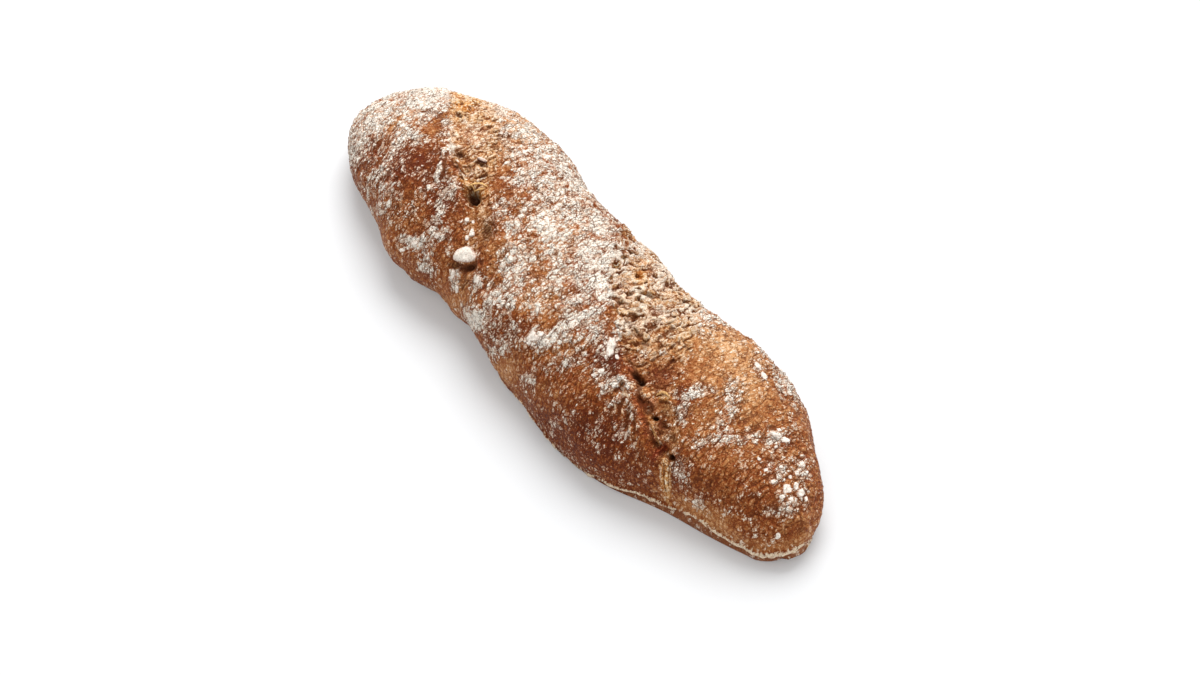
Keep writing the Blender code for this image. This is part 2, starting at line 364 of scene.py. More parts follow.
# ===================================================== flour: how much, and where
FLOUR = (
    # the far end and its streaks
    (372, 122, 24, 13, 45, 0.82), (357, 148, 12, 22, -12, 0.67), (388, 105, 24, 11, 25, 0.70),
    (404, 98, 20, 10, 10, 0.69), (428, 103, 16, 10, 10, 0.98), (436, 92, 26, 7, -8, 0.80),
    (360, 172, 8, 14, -10, 0.33), (413, 135, 9, 7, 0, 0.49), (396, 152, 6, 18, -38, 0.62),
    (384, 182, 6, 24, -22, 0.88), (372, 196, 5, 16, -15, 0.21), (420, 120, 16, 8, 35, 0.62),
    (447, 132, 6, 16, -10, 0.56), (431, 183, 7, 16, -30, 0.45), (446, 172, 4, 18, -15, 0.27),
    (441, 208, 6, 22, -15, 0.52), (436, 234, 10, 10, 0, 0.56), (414, 244, 12, 6, -20, 0.94),
    (402, 214, 8, 12, -20, 0.33), (428, 264, 8, 10, 30, 0.48),
    # round the far slash
    (470, 224, 6, 18, 8, 0.09), (453, 276, 4, 13, 0, 0.73), (477, 281, 6, 10, -10, 0.82),
    (498, 214, 9, 16, -20, 0.50), (455, 188, 6, 14, 0, 0.47), (472, 134, 18, 12, 0, 0.64),
    # the far shoulder
    (498, 110, 16, 9, -25, 0.77), (528, 128, 24, 9, -35, 0.62), (508, 128, 12, 10, 0, 0.67),
    (545, 148, 18, 9, -42, 0.63), (562, 166, 18, 10, -48, 0.70), (578, 188, 14, 9, -40, 0.86),
    (524, 180, 15, 10, 15, 0.66), (540, 165, 20, 9, 20, 0.69), (548, 196, 20, 8, 15, 0.62),
    (520, 152, 12, 10, 15, 0.69),
    # the middle, thick with flour
    (575, 210, 26, 11, 10, 0.53), (548, 228, 18, 22, -30, 0.73), (587, 250, 20, 22, -30, 0.72),
    (600, 225, 18, 12, -40, 0.71), (514, 226, 8, 14, -20, 0.75), (556, 258, 14, 12, 0, 0.60),
    (522, 258, 10, 14, -20, 0.52), (514, 285, 9, 26, -18, 0.74), (560, 282, 34, 10, 12, 0.61),
    (604, 284, 18, 14, 0, 0.82), (618, 262, 12, 14, 0, 0.93), (540, 302, 7, 22, -28, 0.50),
    (478, 317, 12, 9, -40, 0.98), (494, 300, 12, 18, -25, 0.69), (500, 345, 8, 22, -30, 0.56),
    (573, 323, 22, 6, 33, 0.57), (556, 338, 18, 7, 20, 0.49), (590, 335, 18, 12, 10, 0.67),
    (535, 338, 8, 8, 0, 0.86), (612, 346, 6, 13, -12, 0.54), (597, 374, 6, 6, 0, 0.65),
    (618, 382, 10, 6, 10, 0.69), (596, 356, 16, 14, 0, 0.38), (620, 402, 14, 10, 0, 0.26),
    (526, 381, 7, 6, 0, 0.82), (560, 362, 22, 10, 10, 0.56),
    (572, 303, 16, 8, 20, 0.58), (546, 181, 14, 8, 15, 0.69), (390, 186, 6, 14, -20, 0.68), (506, 262, 8, 12, -20, 0.72),
    (478, 300, 8, 10, -30, 0.28), (588, 295, 12, 8, 0, 0.54), (576, 262, 12, 12, 0, 0.66),
    # the near slash and its shoulders
    (637, 249, 10, 7, -30, 0.98), (664, 275, 14, 15, 40, 0.93), (640, 322, 18, 9, 15, 0.98),
    (662, 314, 9, 7, 0, 0.98), (634, 296, 22, 8, 10, 0.98), (695, 314, 28, 11, -24, 0.68),
    (642, 354, 10, 7, 0, 0.33), (728, 350, 18, 9, 10, 0.16), (760, 345, 22, 9, -38, 0.48),
    (760, 372, 5, 13, 32, 0.54), (785, 382, 8, 22, 30, 0.66),
    # the near end
    (694, 393, 15, 6, 8, 0.70), (682, 410, 6, 14, 0, 0.49), (730, 403, 9, 17, -12, 0.62),
    (725, 438, 14, 7, 10, 0.64), (702, 440, 14, 9, 10, 0.42), (752, 436, 18, 7, 0, 0.48),
    (779, 436, 13, 8, -18, 0.59), (803, 466, 6, 15, 5, 0.56), (789, 488, 13, 7, 0, 0.37),
    (802, 492, 5, 12, 0, 0.49), (776, 470, 14, 9, 0, 0.62), (788, 508, 14, 7, 0, 0.74),
    (740, 462, 10, 10, 0, 0.16), (680, 470, 8, 14, 20, 0.62), (700, 505, 14, 8, -20, 0.39),
    (778, 537, 4, 6, 0, 0.02), (735, 520, 18, 7, -28, 0.02),
)
# places that stay bare
BARE = (
    (415, 165, 24, 18, 20, 0.21), (392, 205, 14, 16, 0, 0.40), (395, 175, 8, 16, -25, 0.34),
    (580, 435, 60, 28, -35, 0.27), (560, 398, 30, 16, -30, 0.11), (752, 498, 34, 26, -45, 0.25),
    (520, 322, 14, 12, 0, 0.23), (500, 250, 6, 10, 0, 0.40), (805, 525, 14, 20, 0, 0.00),
    (720, 485, 24, 16, -35, 0.00), (600, 460, 40, 12, -30, 0.10), (645, 420, 6, 26, 0, 0.03),
    (668, 330, 14, 12, 0, 0.40), (655, 370, 18, 14, 0, 0.01), (470, 165, 14, 14, 0, 0.40), (665, 482, 5, 18, 4, 0.03),
)
# tone of the crust, 0 deep red-brown to 1 light golden
TONES = (
    (415, 165, 30, 24, 20, 0.16), (378, 200, 18, 30, 0, 0.49), (410, 235, 30, 26, 0, 0.54),
    (585, 430, 70, 36, -35, 0.21), (540, 390, 40, 20, -35, 0.47), (750, 500, 50, 30, -45, 0.41),
    (800, 520, 20, 30, 0, 0.57), (720, 340, 40, 20, -30, 1.00), (745, 385, 34, 30, -30, 0.89),
    (700, 425, 30, 26, 0, 0.66), (520, 322, 16, 14, 0, 0.11), (640, 450, 14, 30, 0, 0.38),
    (520, 125, 40, 20, -35, 1.00), (560, 200, 40, 30, 0, 0.62), (700, 512, 40, 9, -26, 0.82),
    (368, 150, 14, 30, -10, 0.38), (400, 115, 30, 14, 20, 0.75), (440, 200, 16, 30, -15, 0.17), (450, 218, 12, 18, 0, 0.37),
    (395, 245, 14, 20, -40, 0.50), (475, 250, 16, 24, 0, 0.27), (450, 300, 22, 30, -35, 0.70),
    (505, 255, 20, 26, -10, 0.71), (530, 165, 26, 16, 0, 0.64), (560, 240, 26, 24, 0, 0.80),
    (600, 270, 22, 22, 0, 0.31), (540, 300, 30, 16, 20, 0.75), (560, 345, 30, 14, 20, 0.68),
    (500, 375, 16, 20, -40, 0.76), (610, 360, 18, 18, 0, 0.00), (625, 470, 40, 12, -32, 0.27),
    (690, 465, 16, 20, 0, 0.40), (770, 415, 24, 22, -30, 0.61), (795, 470, 14, 28, -10, 0.66),
    (655, 385, 14, 14, 0, 0.00), (660, 425, 9, 16, 0, 0.05), (470, 108, 20, 14, 0, 0.74), (470, 150, 16, 14, 0, 0.53),
    (480, 175, 14, 10, 0, 0.33), (640, 290, 16, 20, 0, 0.76), (662, 330, 16, 14, 0, 0.59), (487, 228, 9, 20, 0, 0.34),
    (635, 262, 14, 12, 0, 0.77), (495, 140, 16, 14, 0, 0.54), (665, 482, 4, 18, 0, 0.88),
    (685, 400, 12, 20, 0, 0.36), (760, 455, 26, 14, -30, 0.58), (473, 200, 13, 14, 0, 0.28), (508, 148, 12, 16, 0, 0.79), (662, 372, 20, 14, 30, 0.10),
)
# ridges: (points, width in pixels, height in mm, flour)
RIDGES = (
    (((409, 133), (417, 136)), 5.0, 1.0, 0.20), (((366, 196), (374, 168), (390, 142), (408, 122)), 6.0, 0.7, 0.12),
    (((382, 214), (392, 182), (406, 156), (420, 142)), 5.0, 0.6, 0.10),
    (((452, 147), (444, 160), (438, 178)), 3.2, 1.8, 0.35),
    (((455, 160), (462, 176), (466, 190)), 3.0, 1.1, 0.0),
    (((545, 344), (562, 328), (583, 316), (600, 312)), 5.0, 0.8, 0.35),
    (((530, 318), (556, 306), (580, 300)), 4.0, 0.5, 0.15),
    (((600, 395), (610, 384), (624, 383), (632, 392)), 3.6, 1.0, 0.25),
    (((612, 404), (622, 396), (631, 402), (634, 416)), 2.6, 0.8, 0.25),
    (((606, 412), (612, 420), (614, 436)), 2.6, 0.5, 0.15),
    (((628, 408), (630, 424), (626, 440)), 2.4, 0.5, 0.20),
    (((636, 384), (645, 390), (650, 398)), 4.0, 1.6, 0.0),
    (((652, 402), (664, 396), (674, 404)), 3.0, 1.2, 0.0),
    (((616, 372), (624, 380), (632, 388)), 3.0, 1.0, 0.0),
    (((372, 214), (384, 236), (404, 256), (430, 268)), 7.0, 0.9, 0.0),
    (((618, 322), (640, 312), (668, 302), (694, 296)), 2.6, 0.9, 0.10),
    (((622, 336), (646, 324), (672, 312), (700, 304)), 2.6, 0.9, 0.10),
    (((634, 350), (660, 334), (686, 320)), 2.4, 0.8, 0.05),
    (((652, 356), (676, 340), (700, 326)), 2.4, 0.7, 0.05),
    (((622, 272), (640, 278), (650, 270)), 3.0, 0.8, 0.0),
    (((688, 296), (704, 304), (716, 318)), 5.0, 0.9, 0.0),
    (((505, 200), (540, 196), (575, 200)), 2.5, 0.4, 0.1),
    (((500, 160), (530, 150), (560, 146)), 2.5, 0.4, 0.1),
)
# hollows: (x, y, rx, ry, turn, depth in mm, darkness); the darkness is painted shade in the hollow
HOLLOWS = (
    (473, 107, 5.0, 4.2, 0, 2.6, 0.10), (459, 114, 3.6, 2.6, 0, 1.6, 0.55), (480, 117, 4.0, 3.0, 30, 1.2, 0.2),
    (458, 153, 7.0, 3.6, -25, 2.0, 0.12), (471.5, 192.5, 7.2, 7.2, -20, 7.0, 1.00), (473, 198, 4.4, 3.0, 20, 4.0, 1.0),
    (466, 268, 9.0, 3.6, 8, 2.6, 0.65), (452, 266, 4.0, 4.0, 0, 1.6, 0.5), (485, 230, 7.0, 9.0, 0, 1.0, 0.35),
    (635, 251, 4.5, 2.5, -10, 2.2, 0.80), (617, 262, 4.0, 4.0, 0, 2.0, 0.50), (625, 256, 3.0, 2.0, 0, 1.4, 0.6),
    (647, 293, 8.0, 2.6, 4, 2.4, 0.55), (653, 293, 4.0, 2.0, 4, 2.0, 0.6), (640, 275, 5.0, 3.0, 10, 1.5, 0.3),
    (629, 294, 3.5, 2.0, -20, 1.6, 0.6), (688, 301, 7.0, 1.8, -26, 2.4, 0.75), (621, 303, 3.0, 2.0, 0, 1.2, 0.5),
    (635, 373, 3.4, 6.0, 48, 3.6, 0.90), (640, 379, 4.0, 4.4, 30, 4.2, 0.95), (622, 384, 3.5, 3.0, 0, 1.6, 0.6), (653, 417, 3.4, 2.6, -20, 4.6, 1.00),
    (647, 409, 4.0, 6.0, 10, 2.4, 0.5), (656, 446, 5.5, 4.0, -50, 2.8, 0.20), (661, 453, 6.0, 5.0, -30, 3.0, 0.00),
    (671, 459, 3.6, 3.0, 0, 3.6, 0.95), (640, 398, 4.0, 5.0, 0, 1.4, 0.4), (663, 425, 3.0, 5.0, 20, 1.0, 0.30),
    (672, 440, 3.0, 6.0, 10, 1.0, 0.30), (645, 340, 4.0, 2.4, 25, 1.2, 0.45), (636, 330, 3.0, 2.0, 20, 1.0, 0.4),
    (660, 345, 3.5, 2.0, 30, 1.2, 0.40), (670, 322, 3.0, 2.0, 30, 1.0, 0.4), (655, 352, 4.0, 2.0, 25, 1.0, 0.4),
)
# the edge of the bottom crust, as it shows
FOOT_LINE = (
    (540, 446), (560, 456), (586, 474), (611, 486), (641, 497), (666, 509), (682, 513), (703, 523),
    (719, 534.5), (735, 545), (754, 552), (774, 554.5), (794, 551), (808, 543),
)
# where the outline swells or draws in: x, y, reach in pixels, mm
SWELLS = (
    (520, 117, 17, 1.2), (430, 88, 16, 0.5), (594, 195, 12, 1.2), (641, 241, 14, -1.5), (668, 273, 10, 1.3),
    (774, 360, 14, -1.1), (750, 339, 8, 0.8), (436, 300, 15, -2.4), (402, 271, 8, -1.3), (386, 247, 10, 0.8),
    (518, 404, 14, -1.2), (484, 354, 10, -0.9), (597, 480, 9, -1.2), (568, 459, 8, 0.9),
)
# how calm the torn crumb lies, down each slash
CALM_A = ((110, 130, 150, 200, 225, 260), (0.7, 0.5, 0.8, 0.8, 0.45, 0.35))
CALM_B = ((240, 330, 350, 372, 400, 470, 510), (0.95, 1.0, 0.65, 0.4, 0.5, 0.3, 0.2))
# how far its colour leaves the crust's, down each slash
GOLD_A = ((90, 118, 128, 150, 165, 200, 215, 260, 300), (1.0, 1.0, 0.9, 0.85, 0.8, 0.6, 0.4, 0.35, 0.1))
GOLD_B = (
    (225, 250, 280, 300, 335, 350, 380, 395, 450, 460, 510),
    (0.35, 0.55, 0.85, 0.95, 0.80, 0.5, 0.25, 0.3, 0.3, 0.7, 0.95),
)


# places of a colour of their own: red-brown glaze in the deep tear, olive-grey moist crumb,
# yellow crumb
REDS = (
    (640, 398, 6, 16, 12, 0.8), (633, 374, 6, 6, -40, 0.8), (634, 356, 8, 5, 30, 0.5), (663, 372, 14, 12, 30, 0.35),
    (659, 451, 5, 9, -50, 1.2), (630, 367, 5, 5, 0, 0.8), (643, 420, 2.6, 22, 22, 0.7), (652, 438, 2.5, 8, 25, 0.8),
    (457, 172, 4, 9, 0, 0.5), (473, 106.5, 6, 4.5, 0, 1.0), (458, 106, 4, 2.5, 0, 0.4), (487, 126, 5, 3, 0, 0.5),
    (648, 404, 8, 9, 0, 0.5), (648, 294, 8, 3, 0, 0.7), (634, 252, 5, 3, 0, 0.4), (480, 262, 4, 5, 0, 0.6), (466, 268, 10, 4, 5, 0.6), (445, 290, 6, 10, -30, 0.4),
)
OLIVES = (
    (664, 408, 5, 5, 0, 0.5), (666, 436, 8, 12, 20, 0.5), (487, 228, 9, 20, -5, 0.45),
    (460, 153, 6, 5, -10, 0.9), (638, 377, 5, 4, -40, 0.3), (690, 302, 8, 3, -26, 0.1),
    (470, 232, 6, 14, 0, 0.2),
)
YELLOWS = (
    (456, 101, 8, 4, 8, 1.0), (466, 105, 11, 6, 10, 0.7), (475, 101, 6, 3, 0, 1.0), (486, 122, 6, 4, 0, 0.5), (476, 189, 11, 4, -10, 0.8),
    (617, 262, 6, 5, 0, 0.7), (640, 274, 7, 4, 10, 0.9), (650, 290, 8, 3, 0, 0.8), (664, 396, 8, 3, -10, 0.6),
    (645, 388, 8, 7, 0, 0.3), (665, 482, 4.5, 18, 4, 0.7), (650, 420, 4, 8, 20, 0.2), (455, 96, 8, 3, 0, 0.7), (462, 180, 12, 4, -20, 0.5),
)

PEACHES = (
    (470, 133, 20, 11, 0, 0.85), (494, 112, 16, 8, -20, 0.7), (476, 152, 16, 9, 0, 0.5), (505, 140, 12, 10, 0, 0.7), (508, 156, 10, 10, 0, 0.4),
    (488, 172, 10, 8, 0, 0.4), (645, 322, 22, 10, 30, 0.75), (628, 300, 12, 10, 0, 0.6), (650, 268, 14, 10, 0, 0.5),
    (645, 389, 7, 6, 0, 0.8), (672, 292, 14, 5, -20, 0.4), (486, 198, 8, 12, -20, 0.3), (662, 338, 18, 9, 30, 0.5), (684, 318, 14, 8, -20, 0.4),
)
# pale torn edges, partly painted highlight, and dark gaps of painted shade, as fine lines: points, width in pixels,
# amount
PALES = (
    # the top of the far slash
    (((450, 104), (456, 99), (463, 98)), 1.8, 0.8), (((464, 113), (471, 114), (479, 112)), 2.2, 0.9), (((466, 104), (468, 100), (474, 99)), 1.5, 0.8),
    (((451, 117), (455, 122)), 1.6, 0.7), (((464, 119), (469, 116), (475, 117)), 1.8, 1.0), (((451, 113), (449, 119)), 1.6, 0.8),
    (((468, 112), (474, 113), (479, 110)), 1.2, 0.8), (((478, 120), (486, 122), (490, 119)), 1.2, 0.6),
    (((498, 129), (506, 127), (514, 130)), 1.2, 0.7), (((492, 137), (502, 136), (510, 140)), 1.2, 0.6),
    (((458, 128), (468, 125), (478, 128)), 1.2, 0.5), (((452, 136), (462, 133), (472, 137)), 1.2, 0.5),
    # its flap, curls and crumb
    (((452, 147), (446, 152), (443, 160), (440, 168), (437, 178)), 2.4, 1.0), (((446, 148), (443, 153)), 1.4, 0.8),
    (((452, 172), (451, 180)), 2.0, 0.8), (((458, 166), (463, 168), (466, 174)), 1.3, 0.7),
    (((455, 160), (460, 162), (462, 159)), 1.2, 0.6), (((466, 153), (472, 156), (476, 155)), 1.2, 0.7),
    (((488, 157), (494, 154), (501, 152)), 1.2, 0.8), (((468, 168), (478, 170), (490, 166)), 1.1, 0.6),
    (((466, 176), (476, 178), (488, 174)), 1.1, 0.6), (((466, 183), (476, 181), (488, 182)), 1.4, 0.8),
    # the hole and the groove under it
    (((466, 201), (470, 205), (475, 205)), 1.2, 0.6), (((482, 214), (490, 216), (495, 222)), 1.1, 0.5),
    (((480, 226), (484, 222), (490, 224), (491, 230)), 1.0, 0.6), (((483, 238), (488, 240), (493, 236)), 1.0, 0.5),
    (((498, 224), (506, 218), (514, 216)), 1.2, 0.6), (((492, 262), (500, 252), (506, 248)), 1.4, 0.8),
    # leaves of the near slash
    (((636, 281), (641, 280), (646, 277)), 1.4, 1.0), (((627, 312), (641, 306), (657, 302)), 1.4, 0.8),
    (((628, 331), (642, 324), (657, 317)), 1.4, 0.8), (((643, 337), (659, 327), (676, 318)), 1.5, 0.8),
    (((619, 352), (625, 346), (630, 345)), 1.6, 0.8), (((636, 357), (646, 350), (657, 345)), 1.3, 0.7),
    (((654, 286), (668, 288), (680, 293)), 1.6, 0.6), (((664, 300), (676, 297), (684, 300)), 1.3, 0.6),
    (((618, 268), (626, 271), (630, 277)), 1.3, 0.6), (((656, 262), (662, 266), (668, 266)), 1.3, 0.6),
    (((660, 352), (672, 342), (684, 334)), 1.3, 0.6), (((640, 366), (652, 360), (664, 352)), 1.2, 0.6),
    (((622, 300), (628, 304), (636, 302)), 1.3, 0.7), (((648, 312), (658, 309), (668, 310)), 1.3, 0.7),
    (((604, 324), (612, 320), (620, 320)), 1.4, 0.6), (((672, 322), (682, 314), (694, 312)), 1.3, 0.5),
    # round the holes of the near slash
    (((634, 383), (639, 385), (644, 384)), 1.4, 0.7), (((656, 395), (661, 392), (667, 393), (671, 397)), 1.6, 1.0),
    (((648, 421), (652, 430), (656, 440), (660, 447)), 1.5, 1.0), (((658, 418), (664, 420), (671, 419)), 1.2, 0.6),
    (((661, 462), (661, 476), (662, 490), (664, 502)), 1.2, 0.8), (((671, 462), (670, 476), (668, 488), (666, 501)), 1.0, 0.6),
    (((665, 466), (665, 478), (665, 490)), 0.7, 0.2), (((642, 396), (648, 392), (653, 396)), 1.4, 0.6),
    # lines that the flour makes on the crust beside it
    (((609, 394), (615, 385), (625, 381), (632, 386)), 2.4, 1.3), (((614, 414), (615, 401), (622, 393), (630, 397)), 2.0, 1.2),
    (((621, 420), (622, 408), (628, 402)), 1.9, 1.1), (((629, 432), (631, 418), (631, 406)), 1.8, 1.1),
    (((604, 408), (607, 396), (612, 390)), 1.9, 0.9), (((634, 452), (637, 438), (636, 424)), 1.7, 0.8),
    (((636, 444), (640, 432), (638, 420)), 1.2, 0.5),
)
# painted shade: dark lines in the gaps beside torn edges and in creases, and the bran flake's shadow
PAINTED_SHADE_LINES = (
    (((470, 104), (474, 101), (479, 104)), 1.6, 0.6), (((457, 113), (461, 115)), 2.2, 0.9),
    (((482, 126), (487, 128), (491, 125)), 1.5, 0.5), (((499, 132), (505, 134), (511, 133)), 1.1, 0.9),
    (((503, 144), (509, 147), (517, 146)), 1.0, 0.7), (((466, 140), (470, 143)), 1.2, 0.6),
    (((447, 157), (446, 164), (444, 172), (441, 180)), 1.6, 0.9), (((449, 150), (448, 156)), 1.2, 0.8),
    (((456, 164), (459, 171), (462, 178)), 1.4, 0.9), (((452, 162), (454, 168)), 1.2, 0.8), (((466, 160), (469, 166)), 1.2, 0.8),
    (((438, 148), (433, 158), (429, 170)), 1.4, 0.6), (((466, 158), (472, 160), (477, 163)), 1.0, 0.6),
    # the first line below is the painted shadow under the bran flake
    (((477, 160), (482, 163), (487, 164.5)), 1.5, 1.1), (((468, 187), (470, 192), (469, 198)), 1.4, 0.7),
    (((492, 222), (496, 228), (494, 236)), 1.6, 0.7), (((480, 230), (482, 236), (487, 238)), 0.9, 0.6),
    (((455, 264), (464, 267), (474, 264)), 2.2, 1.0), (((479, 258), (482, 264)), 1.6, 0.6), (((461, 272), (462, 282), (460, 290)), 1.8, 0.7),
    # the near slash
    (((634, 283), (642, 284), (648, 281)), 1.4, 0.9), (((645, 294), (652, 296), (659, 294)), 2.0, 1.0),
    (((624, 294), (629, 295), (633, 293)), 1.6, 1.0), (((686, 299), (692, 303), (697, 307)), 1.5, 1.0),
    (((628, 317), (636, 313), (643, 311)), 1.5, 0.8), (((660, 293), (672, 296), (682, 299)), 1.2, 0.7),
    (((638, 334), (648, 329), (656, 324)), 1.6, 0.9), (((659, 337), (670, 330), (680, 325)), 1.5, 0.9),
    (((636, 343), (642, 341), (647, 343)), 2.0, 0.9), (((622, 352), (628, 350)), 1.5, 0.8), (((677, 338), (680, 342)), 1.8, 0.7),
    (((684, 344), (690, 348)), 1.5, 0.6), (((652, 357), (664, 350), (676, 342)), 1.4, 0.8), (((636, 363), (644, 361), (654, 357)), 1.3, 0.7),
    (((632, 249), (637, 252)), 2.2, 1.0), (((616, 259), (619, 263)), 2.0, 0.7), (((646, 268), (652, 270)), 1.4, 0.7),
    (((662, 272), (667, 276)), 1.3, 0.7), (((668, 308), (674, 311)), 1.2, 0.8), (((610, 310), (617, 308)), 1.3, 0.7),
    (((619, 328), (624, 332)), 1.3, 0.7), (((626, 355), (631, 362), (636, 369)), 2.0, 0.7),
    (((657, 369), (668, 362), (678, 352)), 1.1, 0.5), (((650, 378), (662, 370), (674, 362)), 1.1, 0.5),
    (((640, 386), (636, 394), (641, 404), (644, 412)), 2.4, 0.8), (((645, 400), (650, 402), (652, 408)), 1.8, 0.8),
    (((645, 420), (647, 430), (651, 440), (655, 448)), 1.8, 0.8), (((659, 400), (664, 399), (669, 402)), 1.2, 0.7),
    (((660, 424), (662, 430), (660, 434)), 1.6, 0.7), (((666, 458), (671, 458)), 2.4, 1.0), (((663, 464), (663, 480), (664, 494)), 0.8, 0.7),
    (((668, 464), (668, 478), (667, 490)), 0.8, 0.7), (((674, 460), (673, 474), (671, 488)), 1.0, 0.5),
    (((610, 401), (612, 392), (619, 388)), 1.8, 1.0), (((618, 416), (618, 405), (624, 398)), 1.7, 1.0),
    (((625, 428), (626, 413), (629, 407)), 1.7, 1.0), (((633, 440), (634, 426), (634, 412)), 1.6, 0.9), (((672, 400), (676, 412), (676, 424)), 1.4, 0.5),
)


def fields(g, sheet_of_crumb=False):
    """The relief, in mm, and what the materials read."""
    mm = g.mm
    inside, in_a, in_b, slash_depth = slashes(g)
    crumb = ease(inside, -1.0, 3.0)

    flour = np.full(len(mm), 0.15)
    for x, y, rx, ry, turn, amount in FLOUR:
        flour += (amount - flour) * np.clip(1.15 * g.spot(x, y, rx * 1.15, ry * 1.15, turn), 0.0, 1.0)
    for x, y, rx, ry, turn, amount in BARE:
        flour += (amount - flour) * 0.9 * g.spot(x, y, rx, ry, turn)
    # out of sight: flour on what faces up, thinning down the walls
    hidden = 0.08 + 0.42 * ease(g.up, 0.0, 0.8) * (0.55 + 0.45 * layered(N3, mm / 28.0, 2))
    blend = np.maximum(g.seen, g.near)
    flour = flour * blend + np.clip(hidden, 0.02, 0.8) * (1.0 - blend)
    flour += 0.10 * layered(N2, mm / 7.0, 2)
    # towards the far end the flour lies in streaks that run round the loaf
    far = ease(-g.t, 0.25, 0.7)
    flour += 0.16 * far * layered(N6, g.strained(3.4, 16.0, 0.12), 2) * ease(flour, 0.0, 0.4)
    flour = np.clip(flour, 0.01, 0.93)
    gold = np.where(in_a > in_b, np.interp(g.py, *GOLD_A), np.interp(g.py, *GOLD_B))
    gold = gold * (0.35 + 0.65 * np.where(in_a > in_b, ease(in_a, 0.0, 9.0), ease(in_b, 0.0, 6.0)))
    gold = gold * g.seen + 0.8 * (1.0 - g.seen)
    own_colours = {}
    for name, places in (("red", REDS), ("olive", OLIVES), ("peach", PEACHES), ("yellow", YELLOWS)):
        own_colours[name] = np.zeros(len(mm))
        for x, y, rx, ry, turn, amount in places:
            k = amount * g.spot(x, y, rx, ry, turn, hard=1.3) * g.seen
            own_colours[name] = np.maximum(own_colours[name], k)

    tone = 0.40 + 0.10 * layered(N4, mm / 22.0, 2) + 0.16 * ease(g.up, 0.1, 0.95)
    for x, y, rx, ry, turn, amount in TONES:
        tone += (amount - tone) * 0.9 * g.spot(x, y, rx, ry, turn) * blend

    relief = np.zeros(len(mm))
    x_share = g.p[:, 0] / LENGTH
    for waves, rounds, start, size in LUMPS:
        relief += 1000.0 * size * np.sin(2.0 * math.pi * waves * x_share + rounds * g.a + start)
    relief += 0.55 * layered(N5, mm / 24.0, 2)

    # the crust's own relief
    bend = 0.35 * layered(N3, mm / 9.0, 2)[:, None]
    crust = 0.50 * layered(N1, g.strained(9.0, 24.0, 0.15), 2)
    crease = 1.0 - np.abs(layered(N2, g.strained(4.2, 13.0, 0.20) + bend, 2))
    crust -= 0.55 * ease(crease, 0.72, 1.0) * (0.35 + 0.65 * ease(g.up, 0.0, 0.8))
    pebble = layered(N4, mm / 2.3, 2)
    wrinkle = layered(N5, g.strained(1.5, 3.0, 0.1), 2)
    crust += 0.26 * pebble + 0.34 * wrinkle * (0.4 + 0.6 * ease(g.up, 0.0, 0.8))
    # domed scales with creases between them, where the top has dried and split
    near_, next_, own = cells(9, g.strained(3.4, 5.6, 0.15) + bend)
    dome = ease(next_ - near_, 0.0, 0.42)
    crust += 0.55 * (dome - 0.6) * (0.25 + 0.75 * ease(flour, 0.15, 0.5)) * ease(g.up, 0.0, 0.5)

    relief -= slash_depth
    if sheet_of_crumb:
        # torn crumb: steps and folds that run round the loaf, with rough broken edges
        bend = 0.22 * layered(N1, mm / 5.0, 2)[:, None]
        step = layered(N3, g.strained(9.0, 17.0, -0.12) + bend, 2, 0.35) * 2.6
        leaf = step - np.floor(step)
        crest, cleft = bell(leaf, 0.80, 0.11), np.maximum(bell(leaf, 1.0, 0.09), bell(leaf, 0.0, 0.09))
        leaf = leaf * (1.0 - ease(leaf, 0.86, 1.0))
        torn = 2.0 * (leaf - 0.40)
        step = layered(N5, g.strained(5.0, 9.0, -0.12) + 2.0 * bend, 2, 0.35) * 2.2
        leaf = step - np.floor(step)
        crest_2, cleft_2 = bell(leaf, 0.76, 0.12), np.maximum(bell(leaf, 1.0, 0.10), bell(leaf, 0.0, 0.10))
        leaf = leaf * (1.0 - ease(leaf, 0.82, 1.0))
        torn += 0.7 * (leaf - 0.38)
        torn += 0.6 * layered(N4, mm / 8.0, 2)
        torn += 0.20 * layered(N2, mm / 1.8, 2)
        near_, next_, own = cells(5, mm / 3.8)
        pit = ease(next_ - near_, 0.12, 0.35) * (own > 0.9)
        torn -= 0.8 * pit
        torn *= np.where(in_a > in_b, np.interp(g.py, *CALM_A), np.interp(g.py, *CALM_B))
        fine = torn.copy()
        relief += torn
        # pale on the crests, partly painted highlight, dark in the clefts and pits as painted shade
        pale_edges_and_shade = 1.0 * (crest - 1.2 * cleft) + 0.42 * (crest_2 - cleft_2) - 0.8 * pit
        pale_edges_and_shade = pale_edges_and_shade * np.clip(np.where(in_a > in_b, np.interp(g.py, *CALM_A), np.interp(g.py, *CALM_B)), 0.15, 1.0)
        relief -= 2.6 * (1.0 - ease(inside, -3.5, 2.0))
    else:
        near_, next_, own = cells(7, mm / 2.1)
        fine = crust.copy()
        # dark in the creases as painted shade, pale on their lips as painted highlight
        pale_edges_and_shade = (0.35 * bell(crease, 0.66, 0.08) - 0.7 * ease(crease, 0.84, 0.98)) * ease(g.up, 0.0, 0.6)
        pale_edges_and_shade *= 1.0 - 0.75 * ease(flour, 0.45, 0.85)
        relief += crust * (1.0 - crumb)
        relief -= 1.9 * ease(inside, 2.0, 6.0)
        pit = np.zeros(len(mm))

